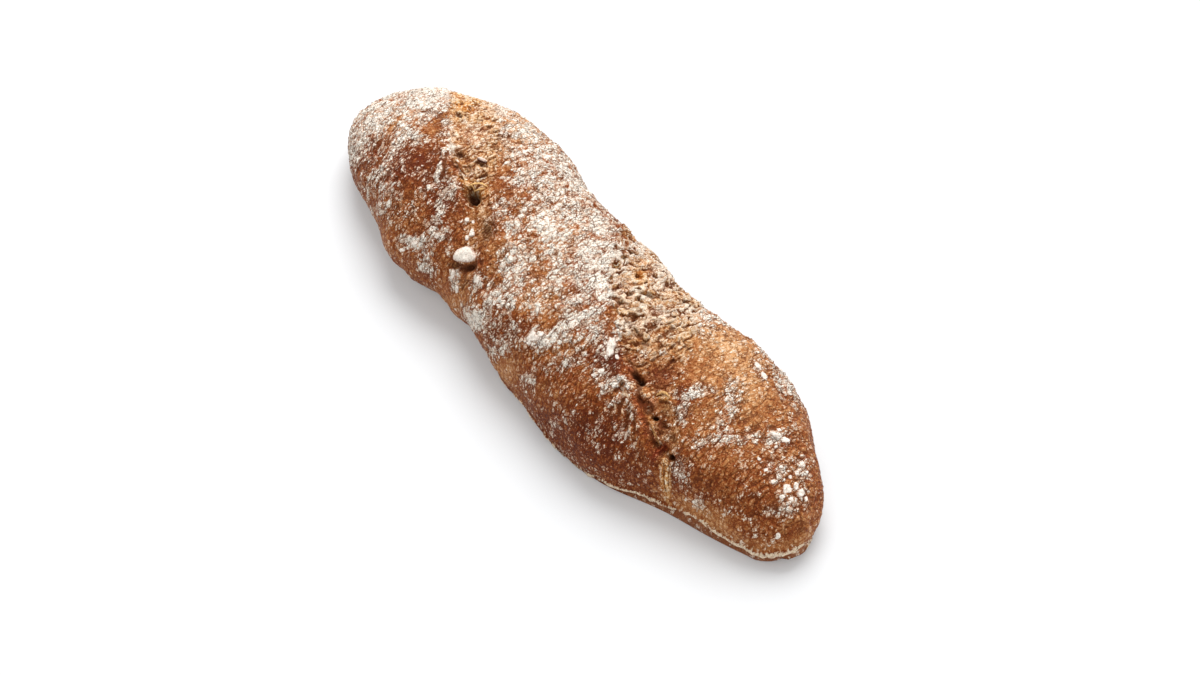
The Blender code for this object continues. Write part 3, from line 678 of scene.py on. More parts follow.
    # lips beside the slashes
    lip_a = bell(in_a, -5.0, 4.0) * ease(g.py, 130, 150) * (1.0 - ease(g.py, 235, 262)) * (g.px < 475)
    lip_b = bell(in_b, -5.0, 4.5) * ease(g.py, 345, 375) * (1.0 - ease(g.py, 450, 480)) * (g.px < 656)
    relief += (1.2 * lip_a + 1.4 * lip_b) * g.seen
    for points, width, height, floury in RIDGES:
        k = g.line(points, width) * g.seen
        relief += height * k
        fine += 0.35 * height * k
        flour = np.clip(flour + floury * k, 0.01, 0.95)
    # deep: painted shade in the hollows and in the pits of the torn crumb
    deep = np.zeros(len(mm))
    for x, y, rx, ry, turn, depth, dark in HOLLOWS:
        k = g.spot(x, y, rx, ry, turn, hard=1.6) * g.seen
        relief -= depth * k
        deep = np.maximum(deep, dark * k)
    deep = np.maximum(deep, 0.35 * pit * crumb)
    shake = 0.55 + 0.9 * layered(N6, mm / 1.6, 2)
    # pale lines: flour and torn edges, partly painted highlight
    for points, width, amount in PALES:
        k = amount * g.line(points, width) * g.seen * np.clip(shake, 0.0, 1.3)
        pale_edges_and_shade += 1.3 * k
        relief += 0.55 * k
    # the dark lines darken the colour as painted shade
    for points, width, amount in PAINTED_SHADE_LINES:
        k = amount * g.line(points, width) * g.seen * np.clip(1.3 - 0.5 * shake, 0.3, 1.2)
        pale_edges_and_shade -= 1.5 * k
        relief -= 0.8 * k

    # flour stands on the crust in little plates, 1 to 2 mm across
    cracked = ease(next_ - near_, 0.05, 0.30)
    body = 0.55 * layered(N6, mm / 1.7, 2) + 0.55 * wrinkle + 0.45 * pebble
    body += 0.40 * ease(-g.t, 0.30, 0.75) * layered(N3, g.strained(2.6, 9.0, 0.30), 2)
    body += 0.35 * layered(N5, mm / 6.0, 2)
    body = body / 0.75
    level = np.log((1.0 - flour) / flour) / 1.702
    grains = ease(body - level, -0.5, 0.5)
    grains = grains * (1.0 - 0.9 * np.clip(deep * 1.3, 0.0, 1.0)) * (1.0 - 0.45 * crumb)
    relief += 0.22 * grains * cracked

    # the foot: the edge of the bottom crust stands out, with a crease under it
    height = mm[:, 2]
    rim = 3.6 + 0.7 * layered(N4, mm / 14.0, 2) + 0.5 * layered(N2, mm / 4.0, 2)
    rim = rim * np.interp(g.t, (-1.0, 0.0, 0.55, 0.8, 1.0), (0.7, 0.9, 1.15, 0.85, 0.6))
    below = g.beside(FOOT_LINE) + 0.8 * N5(mm / 4.0)
    shown = g.seen * ease(g.px, 540, 570) * (g.n[:, 1] < 0.4)
    above = (height - rim) * (1.0 - shown) - 0.62 * below * shown
    wall = ease(height, 0.0, 0.3)
    relief = relief * ease(height, 1.2, 6.0)
    for x, y, reach, swell in SWELLS:
        relief += swell * g.spot(x, y, reach) * ease(height, 0.3, 3.5)
    fade = shown + (1.0 - shown) * (1.0 - ease(height, 8.0, 12.0))
    rough = 0.80 + 0.7 * layered(N1, mm / 5.0, 2) + 0.3 * shown * ease(g.px, 725, 750)
    relief += fade * wall * (1.0 * rough * bell(above, 0.7, 1.0) - 0.7 * bell(above, -1.0, 0.9))
    relief += fade * 0.22 * layered(N6, mm / 2.6, 2) * ease(height, 0.1, 1.0)
    line = bell(above, 0.8, 1.0 - 0.2 * shown * ease(g.px, 730, 758)) * np.clip(rough, 0.15, 1.0) * fade * wall
    tone += (0.72 - tone) * 0.6 * bell(above, 4.0, 3.0) * shown * ease(g.px, 660, 690)
    skirt = (1.0 - ease(above, -0.7, 0.2)) * fade * wall
    relief += 1.1 * (1.0 - ease(above, 0.0, 2.0)) * ease(g.px, 740, 765) * (g.py > 535) * ease(height, 0.05, 0.6)
    grains = grains * ease(height, 3.0, 7.0)

    relief = relief * ease(1.0 - np.abs(g.t), 0.0, 0.012)
    relief = np.where(g.p[:, 2] < 1e-7, 0.0, relief)

    # near the foot the crust moves sideways, so that the foot stays on the floor
    side = g.n.copy()
    side[:, 2] *= ease(height, 2.0, 9.0)
    side /= np.maximum(np.linalg.norm(side, axis=1, keepdims=True), 1e-9)
    direction = np.where((height < 9.0)[:, None], side, g.n)
    moved = g.p + direction * (relief * 0.001)[:, None]
    moved[:, 2] = np.where(g.p[:, 2] < 1e-7, 0.0, np.maximum(moved[:, 2], 0.0))
    return moved, {
        "flour": grains,
        "dust": flour,
        "crumb": crumb,
        "tone": np.clip(tone, 0.0, 1.0),
        "gold": gold,
        **own_colours,
        "deep": np.clip(deep, 0.0, 1.0),
        "fine": fine,
        "pale_edges_and_shade": pale_edges_and_shade,
        "foot": line,
        "skirt": skirt,
        "along": g.t,
    }, inside


# ================================================================= meshes
def mesh_from(name, verts, faces, tris=None):
    """A mesh of quads, with triangles after them."""
    mesh = bpy.data.meshes.new(name)
    faces = np.asarray(faces)
    wide = faces.shape[1]
    nt = 0 if tris is None else len(tris)
    mesh.vertices.add(len(verts))
    mesh.vertices.foreach_set("co", np.ascontiguousarray(verts, dtype=np.float32).ravel())
    loops = faces.ravel() if not nt else np.concatenate([faces.ravel(), np.asarray(tris).ravel()])
    mesh.loops.add(len(loops))
    mesh.loops.foreach_set("vertex_index", loops.astype(np.int32))
    starts = np.concatenate([np.arange(len(faces)) * wide, len(faces) * wide + np.arange(nt) * 3])
    mesh.polygons.add(len(starts))
    mesh.polygons.foreach_set("loop_start", starts.astype(np.int32))
    mesh.update(calc_edges=True)
    mesh.validate()
    return mesh


def put(mesh, name, values):
    a = mesh.attributes.new(name, "FLOAT", "POINT")
    a.data.foreach_set("value", np.ascontiguousarray(values, dtype=np.float32))


def got(mesh, name):
    values = np.zeros(len(mesh.vertices), dtype=np.float32)
    mesh.attributes[name].data.foreach_get("value", values)
    return values


def add(name, mesh):
    thing = bpy.data.objects.new(name, mesh)
    bpy.context.collection.objects.link(thing)
    return thing


def settled(thing, name):
    """The object with its modifiers made part of its mesh."""
    mesh = bpy.data.meshes.new_from_object(thing.evaluated_get(bpy.context.evaluated_depsgraph_get()))
    old = thing.data
    thing.modifiers.clear()
    thing.data = mesh
    bpy.data.meshes.remove(old)
    mesh.name = name
    mesh.shade_smooth()
    print(name, "triangles", len(mesh.polygons))


def grid_faces(rows, columns):
    i = np.arange(rows - 1)[:, None]
    j = np.arange(columns)[None, :]
    k = (j + 1) % columns
    return np.stack(
        [i * columns + j, i * columns + k, (i + 1) * columns + k, (i + 1) * columns + j], axis=-1
    ).reshape(-1, 4)


def outward(grid, wrap):
    along = np.gradient(grid, axis=0)
    if wrap:
        round_ = np.roll(grid, -1, axis=1) - np.roll(grid, 1, axis=1)
    else:
        round_ = np.gradient(grid, axis=1)
    out = np.cross(round_, along)
    return out / np.maximum(np.linalg.norm(out, axis=2, keepdims=True), 1e-12)


# ------------------------------------------------------------------ the skin
ALONG = 840                 # stations along the loaf
OVER = 400                  # points over the top
WALL = 44                   # points down each lower wall
UNDER = 22                  # points across the flat underside
SKIN_TRIANGLES = 196000


def make_skin():
    s = np.linspace(-1.0, 1.0, ALONG)
    t = 0.7 * s + 0.3 * np.sin(0.5 * math.pi * s)
    gap = 1.0 - t[-2]
    ends = 1.0 - gap * np.array([0.5, 0.22, 0.07, 0.012])
    t = np.sort(np.concatenate([t[1:-1], ends, -ends]))
    over = np.linspace(0.0, math.pi, OVER)
    wall = 0.275 * math.pi * np.arange(1, WALL + 1) / WALL
    angle = np.concatenate([over, math.pi + wall, 2.0 * math.pi - wall[::-1]])
    ring = crust_point(t, angle)
    left, right = ring[:, OVER + WALL - 1], ring[:, OVER + WALL]
    share = (np.arange(1, UNDER + 1) / (UNDER + 1.0))[None, :, None]
    flat = left[:, None] * (1.0 - share) + right[:, None] * share
    grid = np.concatenate([ring[:, : OVER + WALL], flat, ring[:, OVER + WALL :]], axis=1)
    turn = np.concatenate([angle[: OVER + WALL], np.full(UNDER, 1.5 * math.pi), angle[OVER + WALL :]])
    rows, columns = grid.shape[:2]
    out = outward(grid, True)
    g = Sheet(grid.reshape(-1, 3), out.reshape(-1, 3), np.repeat(t, columns), np.tile(turn, rows))
    moved, data, _ = fields(g)
    below = np.concatenate([np.zeros(OVER + WALL), np.ones(UNDER), np.zeros(WALL)])
    moved = np.where(np.tile(below, rows)[:, None] > 0.5, g.p, moved)
    turn_share = np.tile(np.linspace(0.0, 2.0 * math.pi, columns, endpoint=False), rows)
    data["round_c"], data["round_s"] = np.cos(turn_share), np.sin(turn_share)
    verts = np.concatenate([moved, [moved[:columns].mean(axis=0), moved[-columns:].mean(axis=0)]])
    j = np.arange(columns)
    k = (j + 1) % columns
    n = rows * columns
    caps = np.concatenate(
        [
            np.stack([np.full(columns, n), k, j], axis=-1),
            np.stack([np.full(columns, n + 1), n - columns + j, n - columns + k], axis=-1),
        ]
    )
    dense = mesh_from("dense", verts, grid_faces(rows, columns), caps)
    for name, values in data.items():
        put(dense, name, np.concatenate([values, [values[:columns].mean(), values[-columns:].mean()]]))
    skin = add("crust_skin", dense)
    thin = skin.modifiers.new("thin", "DECIMATE")
    thin.ratio = SKIN_TRIANGLES / (2.0 * (rows - 1) * columns + 2.0 * columns)
    thin.use_collapse_triangulate = True
    settled(skin, "crust_skin")
    return skin


def lay_out(mesh, u, v):
    """The mesh's own map for its colours; v wraps round at 1."""
    vi = np.zeros(len(mesh.loops), dtype=np.int32)
    mesh.loops.foreach_get("vertex_index", vi)
    lu, lv = u[vi], v[vi].reshape(-1, 3)
    wrap = (lv.max(axis=1) - lv.min(axis=1)) > 0.5
    lv[wrap] = np.where(lv[wrap] < 0.5, lv[wrap] + 1.0, lv[wrap])
    lv = np.clip(lv.ravel() / 1.01, 0.0, 1.0)
    layer = mesh.uv_layers.new(name="OFBake")
    layer.data.foreach_set("uv", np.stack([lu, lv], axis=-1).astype(np.float32).ravel())


# ---------------------------------------------------------- the torn crumb
def make_crumb(name, rows_of_slash, hidden_end, t_range, angle_range, step=0.36):
    rows = int(0.5 * LENGTH * 1000.0 * (t_range[1] - t_range[0]) / step)
    columns = int(math.radians(angle_range[1] - angle_range[0]) * 46.0 / step)
    t = np.linspace(*t_range, rows)
    angle = np.radians(np.linspace(*angle_range, columns))
    grid = crust_point(t, angle)
    out = outward(grid, False)
    g = Sheet(grid.reshape(-1, 3), out.reshape(-1, 3), np.repeat(t, columns), np.tile(angle, rows))
    near = ((g.between(rows_of_slash) > -14.0) & (g.seen > 0.0)) | (
        (behind(g, *hidden_end) > -0.5) & (g.seen < 1.0)
    )
    part = g.part(near)
    moved, data, inside = fields(part, sheet_of_crumb=True)
    all_in = np.full(len(g.p), -99.0)
    all_in[near] = inside
    faces = grid_faces(rows, columns).reshape(rows - 1, columns, 4)[:, :-1].reshape(-1, 4)
    faces = faces[(all_in[faces] > -3.2).all(axis=1)]
    used = np.unique(faces)
    index = np.full(len(g.p), -1)
    index[np.nonzero(near)[0]] = np.arange(near.sum())
    local = index[used]
    new = np.full(len(g.p), -1)
    new[used] = np.arange(len(used))
    faces = new[faces]
    # an underside well below the deepest hollow makes the sheet a closed solid
    top = moved[local]
    low = part.p[local] - part.n[local] * 0.014
    n = len(top)
    edges = np.concatenate([faces[:, [0, 1]], faces[:, [1, 2]], faces[:, [2, 3]], faces[:, [3, 0]]])
    key = np.minimum(edges[:, 0], edges[:, 1]) * (n + 1) + np.maximum(edges[:, 0], edges[:, 1])
    _, first, counts = np.unique(key, return_index=True, return_counts=True)
    rim = edges[first[counts == 1]]
    sides = np.stack([rim[:, 1], rim[:, 0], rim[:, 0] + n, rim[:, 1] + n], axis=-1)
    mesh = mesh_from(name, np.concatenate([top, low]), np.concatenate([faces, faces[:, ::-1] + n, sides]))
    for field, values in data.items():
        put(mesh, field, np.concatenate([values[local], values[local]]))
    thing = add(name, mesh)
    thing.modifiers.new("tri", "TRIANGULATE")
    settled(thing, name)
    return thing


# ==================================================================== materials
def rgb(r, g, b):
    """A colour as it looks on screen, 0 to 255, made linear."""
    out = []
    for v in (r, g, b):
        v /= 255.0
        out.append(v / 12.92 if v <= 0.04045 else ((v + 0.055) / 1.055) ** 2.4)
    return (*out, 1.0)


class Nodes:
    def __init__(self, name):
        self.material = bpy.data.materials.new(name)
        self.material.use_nodes = True
        self.tree = self.material.node_tree
        self.shader = self.tree.nodes["Principled BSDF"]
        self.coord = self.tree.nodes.new("ShaderNodeTexCoord").outputs["Object"]

    def new(self, kind, **values):
        node = self.tree.nodes.new(kind)
        for key, value in values.items():
            setattr(node, key, value)
        return node

    def put(self, socket, value):
        if isinstance(value, bpy.types.NodeSocket):
            self.tree.links.new(value, socket)
        else:
            socket.default_value = value

    def attribute(self, name):
        return self.new("ShaderNodeAttribute", attribute_name=name).outputs["Fac"]

    def scaled(self, x, y, z):
        node = self.new("ShaderNodeMapping")
        node.inputs["Scale"].default_value = (x, y, z)
        self.put(node.inputs["Vector"], self.coord)
        return node.outputs["Vector"]

    def warped(self, scale, by, vector=None):
        """The coordinates, pushed about by noise."""
        noise = self.new("ShaderNodeTexNoise")
        noise.inputs["Scale"].default_value = scale
        noise.inputs["Detail"].default_value = 2.0
        self.put(noise.inputs["Vector"], self.coord)
        less = self.new("ShaderNodeVectorMath", operation="SUBTRACT")
        self.put(less.inputs[0], noise.outputs["Color"])
        less.inputs[1].default_value = (0.5, 0.5, 0.5)
        times = self.new("ShaderNodeVectorMath", operation="SCALE")
        self.put(times.inputs[0], less.outputs[0])
        times.inputs["Scale"].default_value = by
        plus = self.new("ShaderNodeVectorMath", operation="ADD")
        self.put(plus.inputs[0], vector or self.coord)
        self.put(plus.inputs[1], times.outputs[0])
        return plus.outputs[0]

    def noise(self, scale, detail=2.0, rough=0.5, vector=None):
        node = self.new("ShaderNodeTexNoise")
        node.inputs["Scale"].default_value = scale
        node.inputs["Detail"].default_value = detail
        node.inputs["Roughness"].default_value = rough
        self.put(node.inputs["Vector"], vector or self.coord)
        return node.outputs["Fac"]

    def cell_edges(self, scale, vector=None):
        node = self.new("ShaderNodeTexVoronoi", feature="DISTANCE_TO_EDGE")
        node.inputs["Scale"].default_value = scale
        self.put(node.inputs["Vector"], vector or self.coord)
        return node.outputs["Distance"]

    def cell_numbers(self, scale, vector=None):
        node = self.new("ShaderNodeTexVoronoi", feature="F1")
        node.inputs["Scale"].default_value = scale
        self.put(node.inputs["Vector"], vector or self.coord)
        part = self.new("ShaderNodeSeparateColor")
        self.put(part.inputs[0], node.outputs["Color"])
        return part.outputs[0]

    def math(self, operation, a, b=0.0, clamp=False):
        node = self.new("ShaderNodeMath", operation=operation)
        node.use_clamp = clamp
        self.put(node.inputs[0], a)
        self.put(node.inputs[1], b)
        return node.outputs[0]

    def plus(self, a, *others):
        """a, and each other value less its middle, times its weight: (value, middle, weight)."""
        for value, middle, weight in others:
            node = self.new("ShaderNodeMath", operation="MULTIPLY_ADD")
            self.put(node.inputs[0], value)
            node.inputs[1].default_value = weight
            node.inputs[2].default_value = -middle * weight
            a = self.math("ADD", a, node.outputs[0])
        return a

    def span(self, value, low, high, to_low=0.0, to_high=1.0, soft=True):
        node = self.new("ShaderNodeMapRange")
        node.interpolation_type = "SMOOTHSTEP" if soft else "LINEAR"
        for key, v in (
            ("Value", value), ("From Min", low), ("From Max", high), ("To Min", to_low), ("To Max", to_high),
        ):
            self.put(node.inputs[key], v)
        return node.outputs["Result"]

    def times(self, *values):
        out = values[0]
        for v in values[1:]:
            out = self.math("MULTIPLY", out, v)
        return out

    def mix(self, factor, a, b):
        node = self.new("ShaderNodeMix", data_type="RGBA")
        self.put(node.inputs["Factor"], factor)
        self.put(node.inputs[6], a)
        self.put(node.inputs[7], b)
        return node.outputs[2]

    def ramp(self, factor, *stops):
        node = self.new("ShaderNodeValToRGB")
        ramp = node.color_ramp
        while len(ramp.elements) < len(stops):
            ramp.elements.new(0.5)
        for element, (where, colour) in zip(ramp.elements, stops):
            element.position = where
            element.color = colour
        self.put(node.inputs["Fac"], factor)
        return node.outputs["Color"]

    def bump(self, height, strength, distance):
        node = self.new("ShaderNodeBump")
        node.inputs["Strength"].default_value = strength
        node.inputs["Distance"].default_value = distance
        self.put(node.inputs["Height"], height)
        self.put(self.shader.inputs["Normal"], node.outputs["Normal"])


def bread(name):
    """Crust, torn crumb and flour in one material, told apart by the mesh's fields."""
    n = Nodes(name)
    grain = n.noise(760.0, 3.0, 0.6)             # a millimetre, and finer
    speck = n.noise(1700.0, 2.0, 0.6)            # half a millimetre
    patch = n.noise(170.0, 3.0, 0.55)
    # scales and wrinkles, drawn out round the loaf
    drawn = n.warped(420.0, 0.0016, n.scaled(1.0, 0.62, 0.62))
    scale_edge, chip_edge = n.cell_edges(430.0, drawn), n.cell_edges(980.0, drawn)
    scale_own, chip_own = n.cell_numbers(430.0, drawn), n.cell_numbers(980.0, drawn)
    scale = n.span(scale_edge, 0.0, 0.30)
    chip = n.span(chip_edge, 0.0, 0.30)
    strain = n.noise(520.0, 3.0, 0.6, vector=n.scaled(1.0, 0.45, 0.45))
    fine = n.attribute("fine")
    dust = n.attribute("dust")
    crumb = n.attribute("crumb")
    height = n.plus(0.5, (scale, 0.7, 0.45), (chip, 0.6, 0.30), (grain, 0.5, 0.9), (strain, 0.5, 1.0))
    raised = n.plus(height, (fine, 0.0, 0.20), (speck, 0.5, 1.4))

    # bare crust: deep red-brown to light golden; paler on what stands up as painted highlight, darker in the low
    # places as painted shade
    crust = n.ramp(
        n.plus(n.attribute("tone"), (patch, 0.5, 0.35), (raised, 0.5, 0.52), (chip_own, 0.5, 0.14)),
        (0.00, rgb(88, 30, 3)),
        (0.25, rgb(130, 62, 18)),
        (0.50, rgb(168, 106, 58)),
        (0.75, rgb(202, 148, 98)),
        (1.00, rgb(230, 192, 152)),
    )
    # torn crumb: brown, darker in its gaps as painted shade, and pale on its edges, partly painted highlight
    torn = n.ramp(
        n.plus(0.60, (n.attribute("tone"), 0.5, 0.5), (patch, 0.5, 0.4), (raised, 0.5, 0.70), (fine, 0.0, 0.20)),
        (0.00, rgb(98, 42, 8)),
        (0.25, rgb(152, 92, 42)),
        (0.50, rgb(196, 146, 94)),
        (0.75, rgb(224, 186, 142)),
        (1.00, rgb(242, 220, 190)),
    )
    # the own colours below are paler on what stands up and darker in low places: painted highlight and painted shade
    tint = n.plus(0.5, (n.attribute("tone"), 0.5, 0.4), (patch, 0.5, 0.4), (raised, 0.5, 0.8), (fine, 0.0, 0.12))
    golden = n.times(n.span(n.plus(crumb, (height, 0.5, 0.6)), 0.25, 0.75), n.attribute("gold"))
    colour = n.mix(golden, crust, torn)
    for name, dark, middle, light in (
        ("red", rgb(106, 34, 10), rgb(152, 66, 30), rgb(194, 96, 52)),
        ("olive", rgb(92, 56, 28), rgb(140, 98, 62), rgb(184, 142, 98)),
        ("peach", rgb(150, 88, 46), rgb(212, 164, 122), rgb(252, 230, 200)),
        ("yellow", rgb(178, 100, 32), rgb(228, 166, 86), rgb(255, 242, 214)),
    ):
        colour = n.mix(n.attribute(name), colour, n.ramp(tint, (0.18, dark), (0.50, middle), (0.80, light)))
    # pale torn edges, partly painted highlight, and dark gaps of painted shade beside them
    pale_edges_and_shade = n.plus(n.attribute("pale_edges_and_shade"), (grain, 0.5, 1.3), (chip, 0.6, 0.35))
    colour = n.mix(n.times(n.span(pale_edges_and_shade, 0.30, 0.80), 0.70), colour, rgb(240, 210, 176))
    # the bottom crust's edge
    colour = n.mix(n.times(n.attribute("skirt"), 0.6), colour, rgb(142, 88, 56))

    # flour: a film that pales the brown, then white scales and chips of it
    level = n.plus(
        raised, (dust, 0.40, 1.25), (n.math("SUBTRACT", n.attribute("flour"), dust), 0.0, 0.30), (patch, 0.5, 0.9),
        (scale_own, 0.5, 0.30), (chip_own, 0.5, 0.35), (n.span(dust, 0.0, 0.15, 0.0, 1.0), 1.0, 0.35),
        (n.span(pale_edges_and_shade, 0.2, 0.8, 0.0, 1.0), 0.0, 0.10),
    )
    lit = n.times(
        n.span(n.attribute("deep"), 0.0, 0.25, 1.0, 0.0), n.span(n.attribute("red"), 0.1, 0.7, 1.0, 0.1),
        n.span(n.attribute("olive"), 0.1, 0.7, 1.0, 0.25), n.span(n.attribute("yellow"), 0.1, 0.7, 1.0, 0.25),
        n.span(golden, 0.2, 1.0, 1.0, 0.46), n.span(pale_edges_and_shade, -0.7, -0.3, 0.15, 1.0),
        n.span(n.attribute("peach"), 0.1, 0.7, 1.0, 0.45),
    )
    film = n.span(n.plus(dust, (patch, 0.5, 0.9), (raised, 0.5, 0.55), (scale_own, 0.5, 0.25)), 0.15, 0.50)
    beige = n.ramp(n.plus(0.5, (speck, 0.5, 1.4), (scale_own, 0.5, 0.5)), (0.12, rgb(200, 162, 134)), (0.84, rgb(244, 224, 202)))
    colour = n.mix(n.times(film, lit, 0.82), colour, beige)
    line = n.span(n.plus(n.attribute("foot"), (height, 0.5, 0.7), (patch, 0.5, 0.5)), 0.28, 0.62)
    white = n.times(n.span(level, 0.56, 0.76), lit)
    powder = n.ramp(speck, (0.30, rgb(232, 214, 196)), (0.58, rgb(250, 244, 232)))
    colour = n.mix(n.times(white, 0.97), colour, powder)
    colour = n.mix(n.times(line, 0.9), colour, n.ramp(speck, (0.36, rgb(222, 188, 148)), (0.60, rgb(250, 236, 212))))
    # dark cracks between the scales, filled where flour lies thick: the brown crust between the flour plates, darkened
    # further as painted shade
    gap = n.math("MAXIMUM", n.span(scale_edge, 0.015, 0.07, 1.0, 0.0), n.times(n.span(chip_edge, 0.01, 0.075, 1.0, 0.0), 0.85))
    gap = n.times(gap, n.span(n.plus(patch, (grain, 0.5, 1.0)), 0.39, 0.62))
    gap = n.times(gap, n.span(golden, 0.0, 1.0, 1.0, 0.45), n.span(dust, 0.10, 0.36, 0.25, 1.0), n.span(dust, 0.84, 0.93, 1.0, 0.45))
    colour = n.mix(n.times(gap, n.span(dust, 0.1, 0.5, 0.76, 0.92)), colour, n.mix(n.span(dust, 0.2, 0.6), rgb(82, 34, 10), rgb(92, 56, 36)))
    # painted shade: the dark gaps beside torn edges and in creases
    colour = n.mix(n.times(n.span(pale_edges_and_shade, -0.85, -0.30, 1.0, 0.0), 0.72), colour, rgb(98, 48, 20))
    # painted shade: the hollows and crumb pits darkened towards near black
    colour = n.mix(n.span(n.attribute("deep"), 0.0, 0.85, 0.0, 0.95, False), colour, rgb(58, 25, 8))
    n.put(n.shader.inputs["Base Color"], colour)
    n.put(n.shader.inputs["Roughness"], n.plus(n.span(white, 0.0, 1.0, 0.50, 0.92, False), (grain, 0.5, 0.3)))
    n.shader.inputs["Specular IOR Level"].default_value = 0.12
    n.bump(n.plus(height, (white, 0.0, 0.15), (gap, 0.0, -0.25)), 1.0, 0.0008)
    return n.material


skin = make_skin()
lay_out(
    skin.data,
    got(skin.data, "along") * 0.5 + 0.5,
    (np.arctan2(got(skin.data, "round_s"), got(skin.data, "round_c")) / (2.0 * math.pi)) % 1.0,
)
skin.data.materials.clear()
skin.data.materials.append(bread("baked_crust"))
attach(skin, "root")
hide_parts("loaf")

crumb_material = bread("torn_crumb")
crumbs = []
for name, rows_of_slash, hidden_end, t_range, angle_range in (
    ("crumb_far", SLASH_A, BEHIND_A, (-0.93, -0.12), (20.0, 185.0)),
    ("crumb_near", SLASH_B, BEHIND_B, (-0.08, 0.72), (15.0, 207.0)),
):
    piece = make_crumb(name, rows_of_slash, hidden_end, t_range, angle_range)
    piece.data.materials.clear()
    piece.data.materials.append(crumb_material)
    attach(piece, "root")
    crumbs.append(piece)

# ============================================ pieces that lie on the crust or stand from it
from mathutils.bvhtree import BVHTree


def soup(things):
    verts, tris, start = [], [], 0
    for thing in things:
        mesh = thing.data
        co = np.zeros(len(mesh.vertices) * 3, dtype=np.float32)
        mesh.vertices.foreach_get("co", co)
        vi = np.zeros(len(mesh.loops), dtype=np.int32)
        mesh.loops.foreach_get("vertex_index", vi)
        verts.append(co.reshape(-1, 3))
        tris.append(vi.reshape(-1, 3) + start)
        start += len(mesh.vertices)
    return np.concatenate(verts), np.concatenate(tris)


all_verts, all_tris = soup([skin] + crumbs)
surface = BVHTree.FromPolygons(all_verts.tolist(), all_tris.tolist(), all_triangles=True)


def behind_pixel(x, y):
    """The surface point that shows at a pixel, and a steady normal there."""
    ray = -BACK * PER_RADIAN + RIGHT * (x - 600.0) - UP * (y - 337.5)
    ray /= np.linalg.norm(ray)
    spot = surface.ray_cast(Vector(EYE), Vector(ray))[0]
    if spot is None:
        raise ValueError("nothing shows at %s, %s" % (x, y))
    spot = np.array(spot)
    near = [surface.find_nearest(Vector(spot + RIGHT * a * 0.002 + UP * b * 0.002))[1] for a in (-1, 0, 1) for b in (-1, 0, 1)]
    normal = np.sum([np.array(v) for v in near], axis=0)
    return spot, normal / np.linalg.norm(normal)


def down_to(point, normal, reach=0.006):
    """The point moved along the normal onto the surface."""
    hit = surface.ray_cast(Vector(point + normal * reach), Vector(-normal), reach * 2.5)[0]
    return np.array(hit) if hit is not None else point


class Heap:
    """Small closed solids gathered into one mesh."""

    def __init__(self):
        self.verts, self.faces, self.shade, self.count = [], [], [], 0

    def take(self, verts, faces, shade):
        self.verts.append(verts)
        self.faces += [tuple(int(i) + self.count for i in f) for f in faces]
        self.shade.append(np.broadcast_to(shade, (len(verts),)))
        self.count += len(verts)

    def rings(self, rings, top, bottom, shade):
        """Rings of points, closed by a point at each end."""
        rings = np.array(rings)
        m, k = rings.shape[:2]
        verts = np.concatenate([rings.reshape(-1, 3), [top, bottom]])
        faces = []
        for i in range(m - 1):
            for j in range(k):
                a, b = i * k + j, i * k + (j + 1) % k
                faces += [(a, b, b + k), (a, b + k, a + k)]
        for j in range(k):
            faces.append((m * k, (j + 1) % k, j))
            faces.append((m * k + 1, (m - 1) * k + j, (m - 1) * k + (j + 1) % k))
        self.take(verts, faces, shade)

    def piece(self, name, material, slot):
        mesh = bpy.data.meshes.new(name)
        mesh.from_pydata(np.concatenate(self.verts).tolist(), [], self.faces)
        mesh.validate()
        put(mesh, "shade", np.concatenate(self.shade))
        mesh.shade_smooth()
        thing = add(name, mesh)
        thing.data.materials.append(material)
        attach(thing, "root")
        print(name, "triangles", len(mesh.polygons))
        return thing


def clump(heap, x, y, rx, ry, turn, tall, seed, ragged=0.09):
    """A caked lump drawn at a pixel, its half-sizes in pixels and its height in mm."""
    rng = np.random.RandomState(seed)
    centre, normal = behind_pixel(x, y)
    a = math.radians(-turn)
    k = 26
    th = np.linspace(0, 2 * math.pi, k, endpoint=False)
    outline = 1.0 + sum(ragged * rng.normal() * np.sin((i + 3) * th + rng.rand() * 6.3) / (1.0 + 0.3 * i) for i in range(8))
    rings = []
    for r, h in ((0.20, 1.0), (0.42, 0.97), (0.62, 0.88), (0.80, 0.68), (0.93, 0.36), (1.0, -0.05), (0.92, -0.6)):
        ring = []
        for j in range(k):
            d = r * outline[j]
            u, v = d * rx * math.cos(th[j]), d * ry * math.sin(th[j])
            qx, qy = x + u * math.cos(a) - v * math.sin(a), y + u * math.sin(a) + v * math.cos(a)
            ray = -BACK * PER_RADIAN + RIGHT * (qx - 600.0) - UP * (qy - 337.5)
            hit = surface.ray_cast(Vector(EYE), Vector(ray / np.linalg.norm(ray)))[0]
            at = np.array(hit) if hit is not None else centre
            # a point that falls into a hollow is brought back to the lump's own level
            sunk = (at - centre) @ normal
            limit = 0.0011 + 0.25 * np.linalg.norm(at - centre)
            if abs(sunk) > limit:
                at = at - normal * (sunk - math.copysign(limit, sunk))
            bump = 0.30 * float(N2(np.array([at * 1000.0 / 0.9]))[0]) + 0.20 * float(N4(np.array([at * 1000.0 / 2.0]))[0])
            ring.append(at + normal * (h * tall + (bump * min(1.0, tall) if h > 0 else 0.0)) * 0.001)
        rings.append(ring)
    shade = np.concatenate([np.repeat((1.0, 1.0, 0.97, 0.88, 0.62, 0.18, 0.0), k), (1.0, 0.0)])
    heap.rings(rings, np.mean(rings[0], axis=0), np.mean(rings[-1], axis=0), shade)


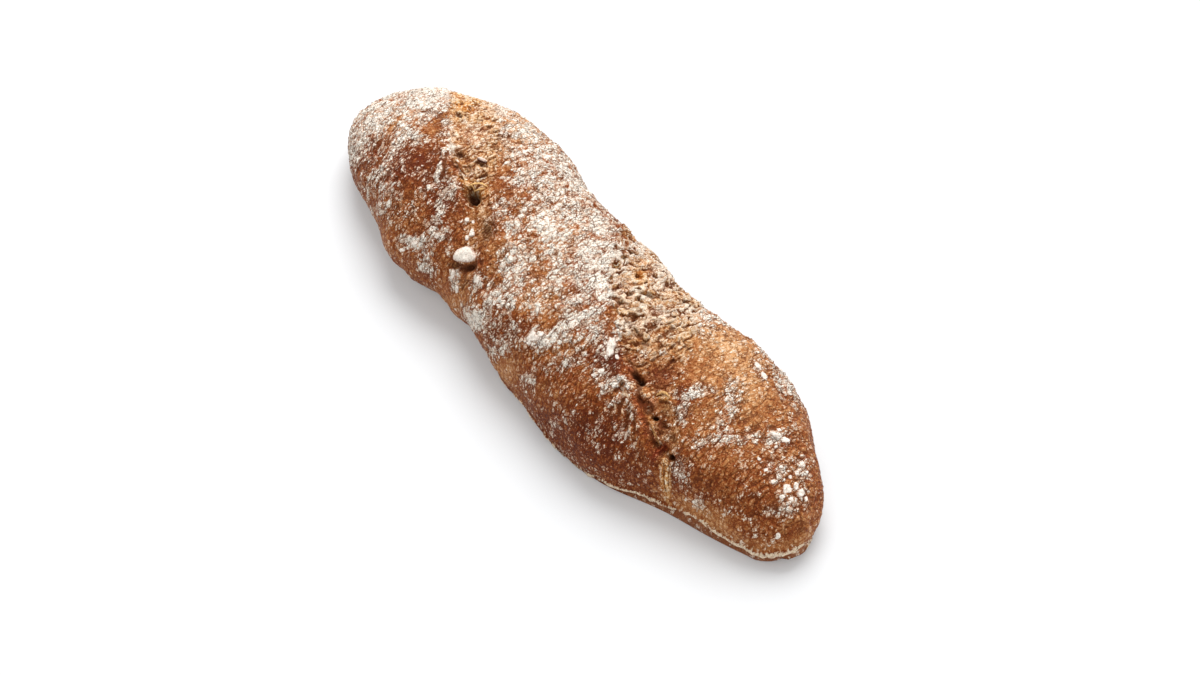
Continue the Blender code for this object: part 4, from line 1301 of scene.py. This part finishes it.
def shred(heap, points, wide, thick, lift, seed=1, shade=0.5, sides=8, rough=0.16):
    """A torn band that follows drawn points; widths, thicknesses and lifts are in mm."""
    rng = np.random.RandomState(seed)
    pts = np.array(points, dtype=float)
    s = np.linspace(0, len(pts) - 1, 5 * (len(pts) - 1) + 1)
    at = np.arange(len(pts))
    x, y = np.interp(s, at, pts[:, 0]), np.interp(s, at, pts[:, 1])
    for _ in range(2):
        x[1:-1] = 0.25 * x[:-2] + 0.5 * x[1:-1] + 0.25 * x[2:]
        y[1:-1] = 0.25 * y[:-2] + 0.5 * y[1:-1] + 0.25 * y[2:]
    half = np.interp(s, at, np.broadcast_to(wide, (len(pts),)))
    deep = np.interp(s, at, np.broadcast_to(thick, (len(pts),)))
    up = np.interp(s, at, np.broadcast_to(lift, (len(pts),)))
    found = [behind_pixel(a, b) for a, b in zip(x, y)]
    normals = np.array([f[1] for f in found])
    for _ in range(3):
        normals[1:-1] = normals[:-2] + normals[1:-1] + normals[2:]
        normals /= np.linalg.norm(normals, axis=1, keepdims=True)
    base = np.array([f[0] for f in found])
    # the depth is smoothed along the line of sight, so the band still shows where it was drawn
    depth = (base - EYE) @ -BACK
    smooth = depth.copy()
    for _ in range(4):
        smooth[1:-1] = 0.25 * smooth[:-2] + 0.5 * smooth[1:-1] + 0.25 * smooth[2:]
    base = EYE + (base - EYE) * (smooth / depth)[:, None]
    path = base + normals * up[:, None] * 0.001
    along = np.gradient(path, axis=0)
    along /= np.linalg.norm(along, axis=1, keepdims=True)
    across = np.cross(along, normals)
    across /= np.linalg.norm(across, axis=1, keepdims=True)
    out = np.cross(across, along)
    taper = np.sqrt(np.clip(1.0 - np.abs(np.linspace(-1, 1, len(s))) ** 3.0, 0.03, 1.0))
    th = np.linspace(0, 2 * math.pi, sides, endpoint=False)
    rings = []
    for i in range(len(s)):
        w = 1.0 + rough * rng.normal(size=sides)
        ring = [
            path[i]
            + across[i] * math.cos(t) * half[i] * taper[i] * w[j] * 0.001
            + out[i] * math.sin(t) * deep[i] * taper[i] * w[j] * 0.001
            for j, t in enumerate(th)
        ]
        rings.append(ring)
    heap.rings(rings, path[0] - along[0] * 0.0003, path[-1] + along[-1] * 0.0003, shade)


def lie_on(name, dark, light, rough, scale=1400.0, bump=0.0003):
    """A plain matt material between two colours."""
    n = Nodes(name)
    grain = n.noise(scale, 3.0, 0.6)
    n.put(n.shader.inputs["Base Color"], n.ramp(n.plus(n.attribute("shade"), (grain, 0.56, 2.0)), (0.0, dark), (1.0, light)))
    n.shader.inputs["Roughness"].default_value = rough
    n.shader.inputs["Specular IOR Level"].default_value = 0.12
    n.bump(grain, 1.0, bump)
    return n.material


# caked flour: x, y, half-sizes in pixels and turn, height in mm
CLUMPS = (
    (465, 255, 11.8, 8.2, 3, 1.4), (533, 337, 6.0, 5.5, 0, 0.8), (541, 334, 3.4, 3.0, 0, 0.6), (529, 343, 2.6, 2.2, 0, 0.5),
    (611, 347, 4.6, 10.5, -12, 1.0), (601, 371, 3.6, 2.6, 20, 0.5), (594, 375, 2.6, 2.2, 0, 0.4),
    (775, 435, 5.5, 2.6, -30, 0.6), (785, 440, 5.0, 2.8, -12, 0.6), (779, 430, 2.6, 1.6, -20, 0.4),
    (758, 366, 2.4, 5.0, 40, 0.5), (764, 376, 2.6, 4.4, 40, 0.5),
    (787, 489, 4.6, 5.0, 20, 0.6), (796, 486, 2.6, 4.2, 0, 0.5), (801, 493, 3.4, 4.6, -15, 0.6), (782, 497, 3.4, 2.2, 10, 0.5),
    (773, 482, 2.6, 2.2, 0, 0.5), (791, 499, 2.4, 2.4, 0, 0.4), (806, 499, 1.8, 3.0, 0, 0.4), (797, 473, 2.2, 2.6, 0, 0.4),
    (766, 470, 2.4, 1.8, 30, 0.4), (781, 467, 2.2, 1.8, 0, 0.4), (802, 464, 2.2, 3.6, 0, 0.4), (790, 477, 2.0, 2.0, 0, 0.4),
    (415, 243, 3.6, 2.2, 20, 0.5), (437, 236, 2.4, 2.8, 0, 0.4), (402, 250, 3.0, 2.0, 0, 0.4),
    (467, 220, 2.6, 2.6, 0, 0.5), (473, 222, 1.8, 1.8, 0, 0.4), (472, 233, 2.8, 4.4, -10, 0.6), (467, 238, 2.0, 2.8, 0, 0.4),
    (453, 274, 1.9, 5.6, -8, 0.5), (457, 289, 1.8, 4.4, 0, 0.4), (478, 280, 1.8, 4.8, -12, 0.4),
    (776, 447, 2.2, 1.6, 20, 0.4), (759, 459, 2.4, 1.6, -40, 0.4), (617, 357, 2.0, 2.8, 20, 0.5), (606, 357, 1.8, 2.4, 0, 0.4),
    (778, 536, 2.6, 3.6, -20, 0.5),
)
powder_heap = Heap()
for i, row in enumerate(CLUMPS):
    clump(powder_heap, *row, seed=100 + i, ragged=0.09 if i else 0.05)
powder_heap.piece("flour_clumps", lie_on("caked_flour", rgb(140, 84, 52), rgb(238, 230, 218), 0.95), "flour")

# torn shreds of crumb: points, half-width, half-thickness, lift, shade
SHREDS = (
    # strands over the hole
    (((468, 186), (474, 184), (482, 184), (488, 187)), (0.35, 0.45, 0.45, 0.3), 0.35, (0.2, 0.8, 0.8, 0.2), 1.0),
    (((474, 191), (479, 190), (486, 189)), (0.3, 0.4, 0.3), 0.3, (0.4, 1.0, 0.3), 1.0),
    (((470, 184), (474, 188), (475, 193)), (0.25, 0.35, 0.25), 0.3, (0.3, 0.8, 0.2), 0.75),
    # the curl beside the flap, and the lip over the near slash's hollow
    (((455, 161), (459, 165), (462, 171), (466, 176)), (0.5, 0.8, 0.7, 0.4), 0.5, (0.2, 0.5, 0.4, 0.1), 0.15),
    (((656, 396), (661, 393), (667, 394), (671, 399)), (0.5, 0.8, 0.7, 0.4), 0.6, (0.2, 0.7, 0.6, 0.2), 0.60),
    (((649, 421), (653, 430), (657, 439), (660, 446)), (0.4, 0.6, 0.6, 0.4), 0.5, (0.1, 0.4, 0.4, 0.1), 0.30),
)
torn_heap = Heap()
for i, (points, wide, thick, lift, shade) in enumerate(SHREDS):
    shred(torn_heap, points, wide, thick, lift, seed=300 + i, shade=shade)
torn_heap.piece("crumb_shreds", lie_on("shreds", rgb(108, 54, 22), rgb(236, 192, 128), 0.8), "crumb")

# the bran flake in the far slash: its two ends and half-width in pixels, its height in mm
FLAKES = (((477.6, 157.4), (487.4, 161.4), 1.5, 2.2),)
bran_heap = Heap()
for (x0, y0), (x1, y1), half, tall in FLAKES:
    centre, normal = behind_pixel(0.5 * (x0 + x1), 0.5 * (y0 + y1) + 2.0)
    pixel = REACH / PER_RADIAN
    side = RIGHT * (x1 - x0) - UP * (y1 - y0)
    reach = 0.5 * np.linalg.norm(side) * pixel
    side /= np.linalg.norm(side)
    other = np.cross(side, BACK)
    # the flake stands on its lower rim, its pale face towards the camera
    top = centre + UP * 2.0 * pixel + BACK * tall * 0.001
    th = np.linspace(0, 2 * math.pi, 14, endpoint=False)
    rings = []
    for r, down, slip in ((0.60, -0.12, 0.0), (0.92, 0.0, 0.0), (1.0, 0.20, 0.15), (0.96, 0.9, 1.0), (0.80, 3.0, 1.3)):
        rings.append([
            top + side * math.cos(t) * reach * r
            + other * (math.sin(t) * half * pixel * r + slip * 0.0009)
            - BACK * down * 0.001
            for t in th
        ])
    # the pale face keeps its colour; the side under it is dark, the bran's brown with painted shade
    shade = np.concatenate([np.repeat((0.95, 0.90, 0.25, 0.0, 0.0), 14), (0.95, 0.0)])
    bran_heap.rings(rings, top + BACK * 0.0002, np.mean(rings[-1], axis=0), shade)
bran_heap.piece("bran_flake", lie_on("bran", rgb(74, 30, 18), rgb(236, 214, 198), 0.7), "bran")

# ================================================================ floor and light
floor_mesh = bpy.data.meshes.new("floor")
floor_mesh.from_pydata(
    [(-4, -4, -0.0003), (4, -4, -0.0003), (4, 4, -0.0003), (-4, 4, -0.0003)], [], [(0, 1, 2, 3)]
)
floor = add("floor", floor_mesh)
white_floor = Nodes("floor_white")
white_floor.shader.inputs["Base Color"].default_value = (0.55, 0.557, 0.565, 1.0)
white_floor.shader.inputs["Roughness"].default_value = 0.9
# it glows a little, as a light table does
white_floor.shader.inputs["Emission Color"].default_value = (1.0, 1.0, 1.0, 1.0)
white_floor.shader.inputs["Emission Strength"].default_value = 0.17
white_floor.shader.inputs["Specular IOR Level"].default_value = 0.1
floor_mesh.materials.append(white_floor.material)

world = bpy.data.worlds.new("studio")
bpy.context.scene.world = world
world.use_nodes = True
world.node_tree.nodes["Background"].inputs["Color"].default_value = (1.0, 1.0, 1.0, 1.0)
world.node_tree.nodes["Background"].inputs["Strength"].default_value = 0.86

# the key comes from behind the loaf, high and soft
key_flat = np.array([-0.68, 0.74, 0.0])
key_flat /= np.linalg.norm(key_flat)
key_rise = math.radians(60.0)
key_at = key_flat * math.cos(key_rise) * 1.7 + np.array([0.0, 0.0, math.sin(key_rise) * 1.7])
light = bpy.data.lights.new("key", "AREA")
light.shape = "DISK"
light.size = 1.4
light.energy = 34.0
key = bpy.data.objects.new("key", light)
key.location = tuple(key_at)
key.rotation_euler = (Vector((0.0, 0.0, 0.03)) - Vector(key_at)).to_track_quat("-Z", "Y").to_euler()
bpy.context.collection.objects.link(key)

camera = bpy.data.cameras.new("camera")
camera.lens = LENS
camera.sensor_width = 36.0
camera.clip_start = 0.05
view = bpy.data.objects.new("camera", camera)
rotation = Matrix((RIGHT, UP, BACK)).transposed()
view.matrix_world = Matrix.Translation(Vector(EYE)) @ rotation.to_4x4()
bpy.context.collection.objects.link(view)
bpy.context.scene.camera = view
bpy.context.scene.view_settings.view_transform = "Standard"
bpy.context.scene.view_settings.look = "None"
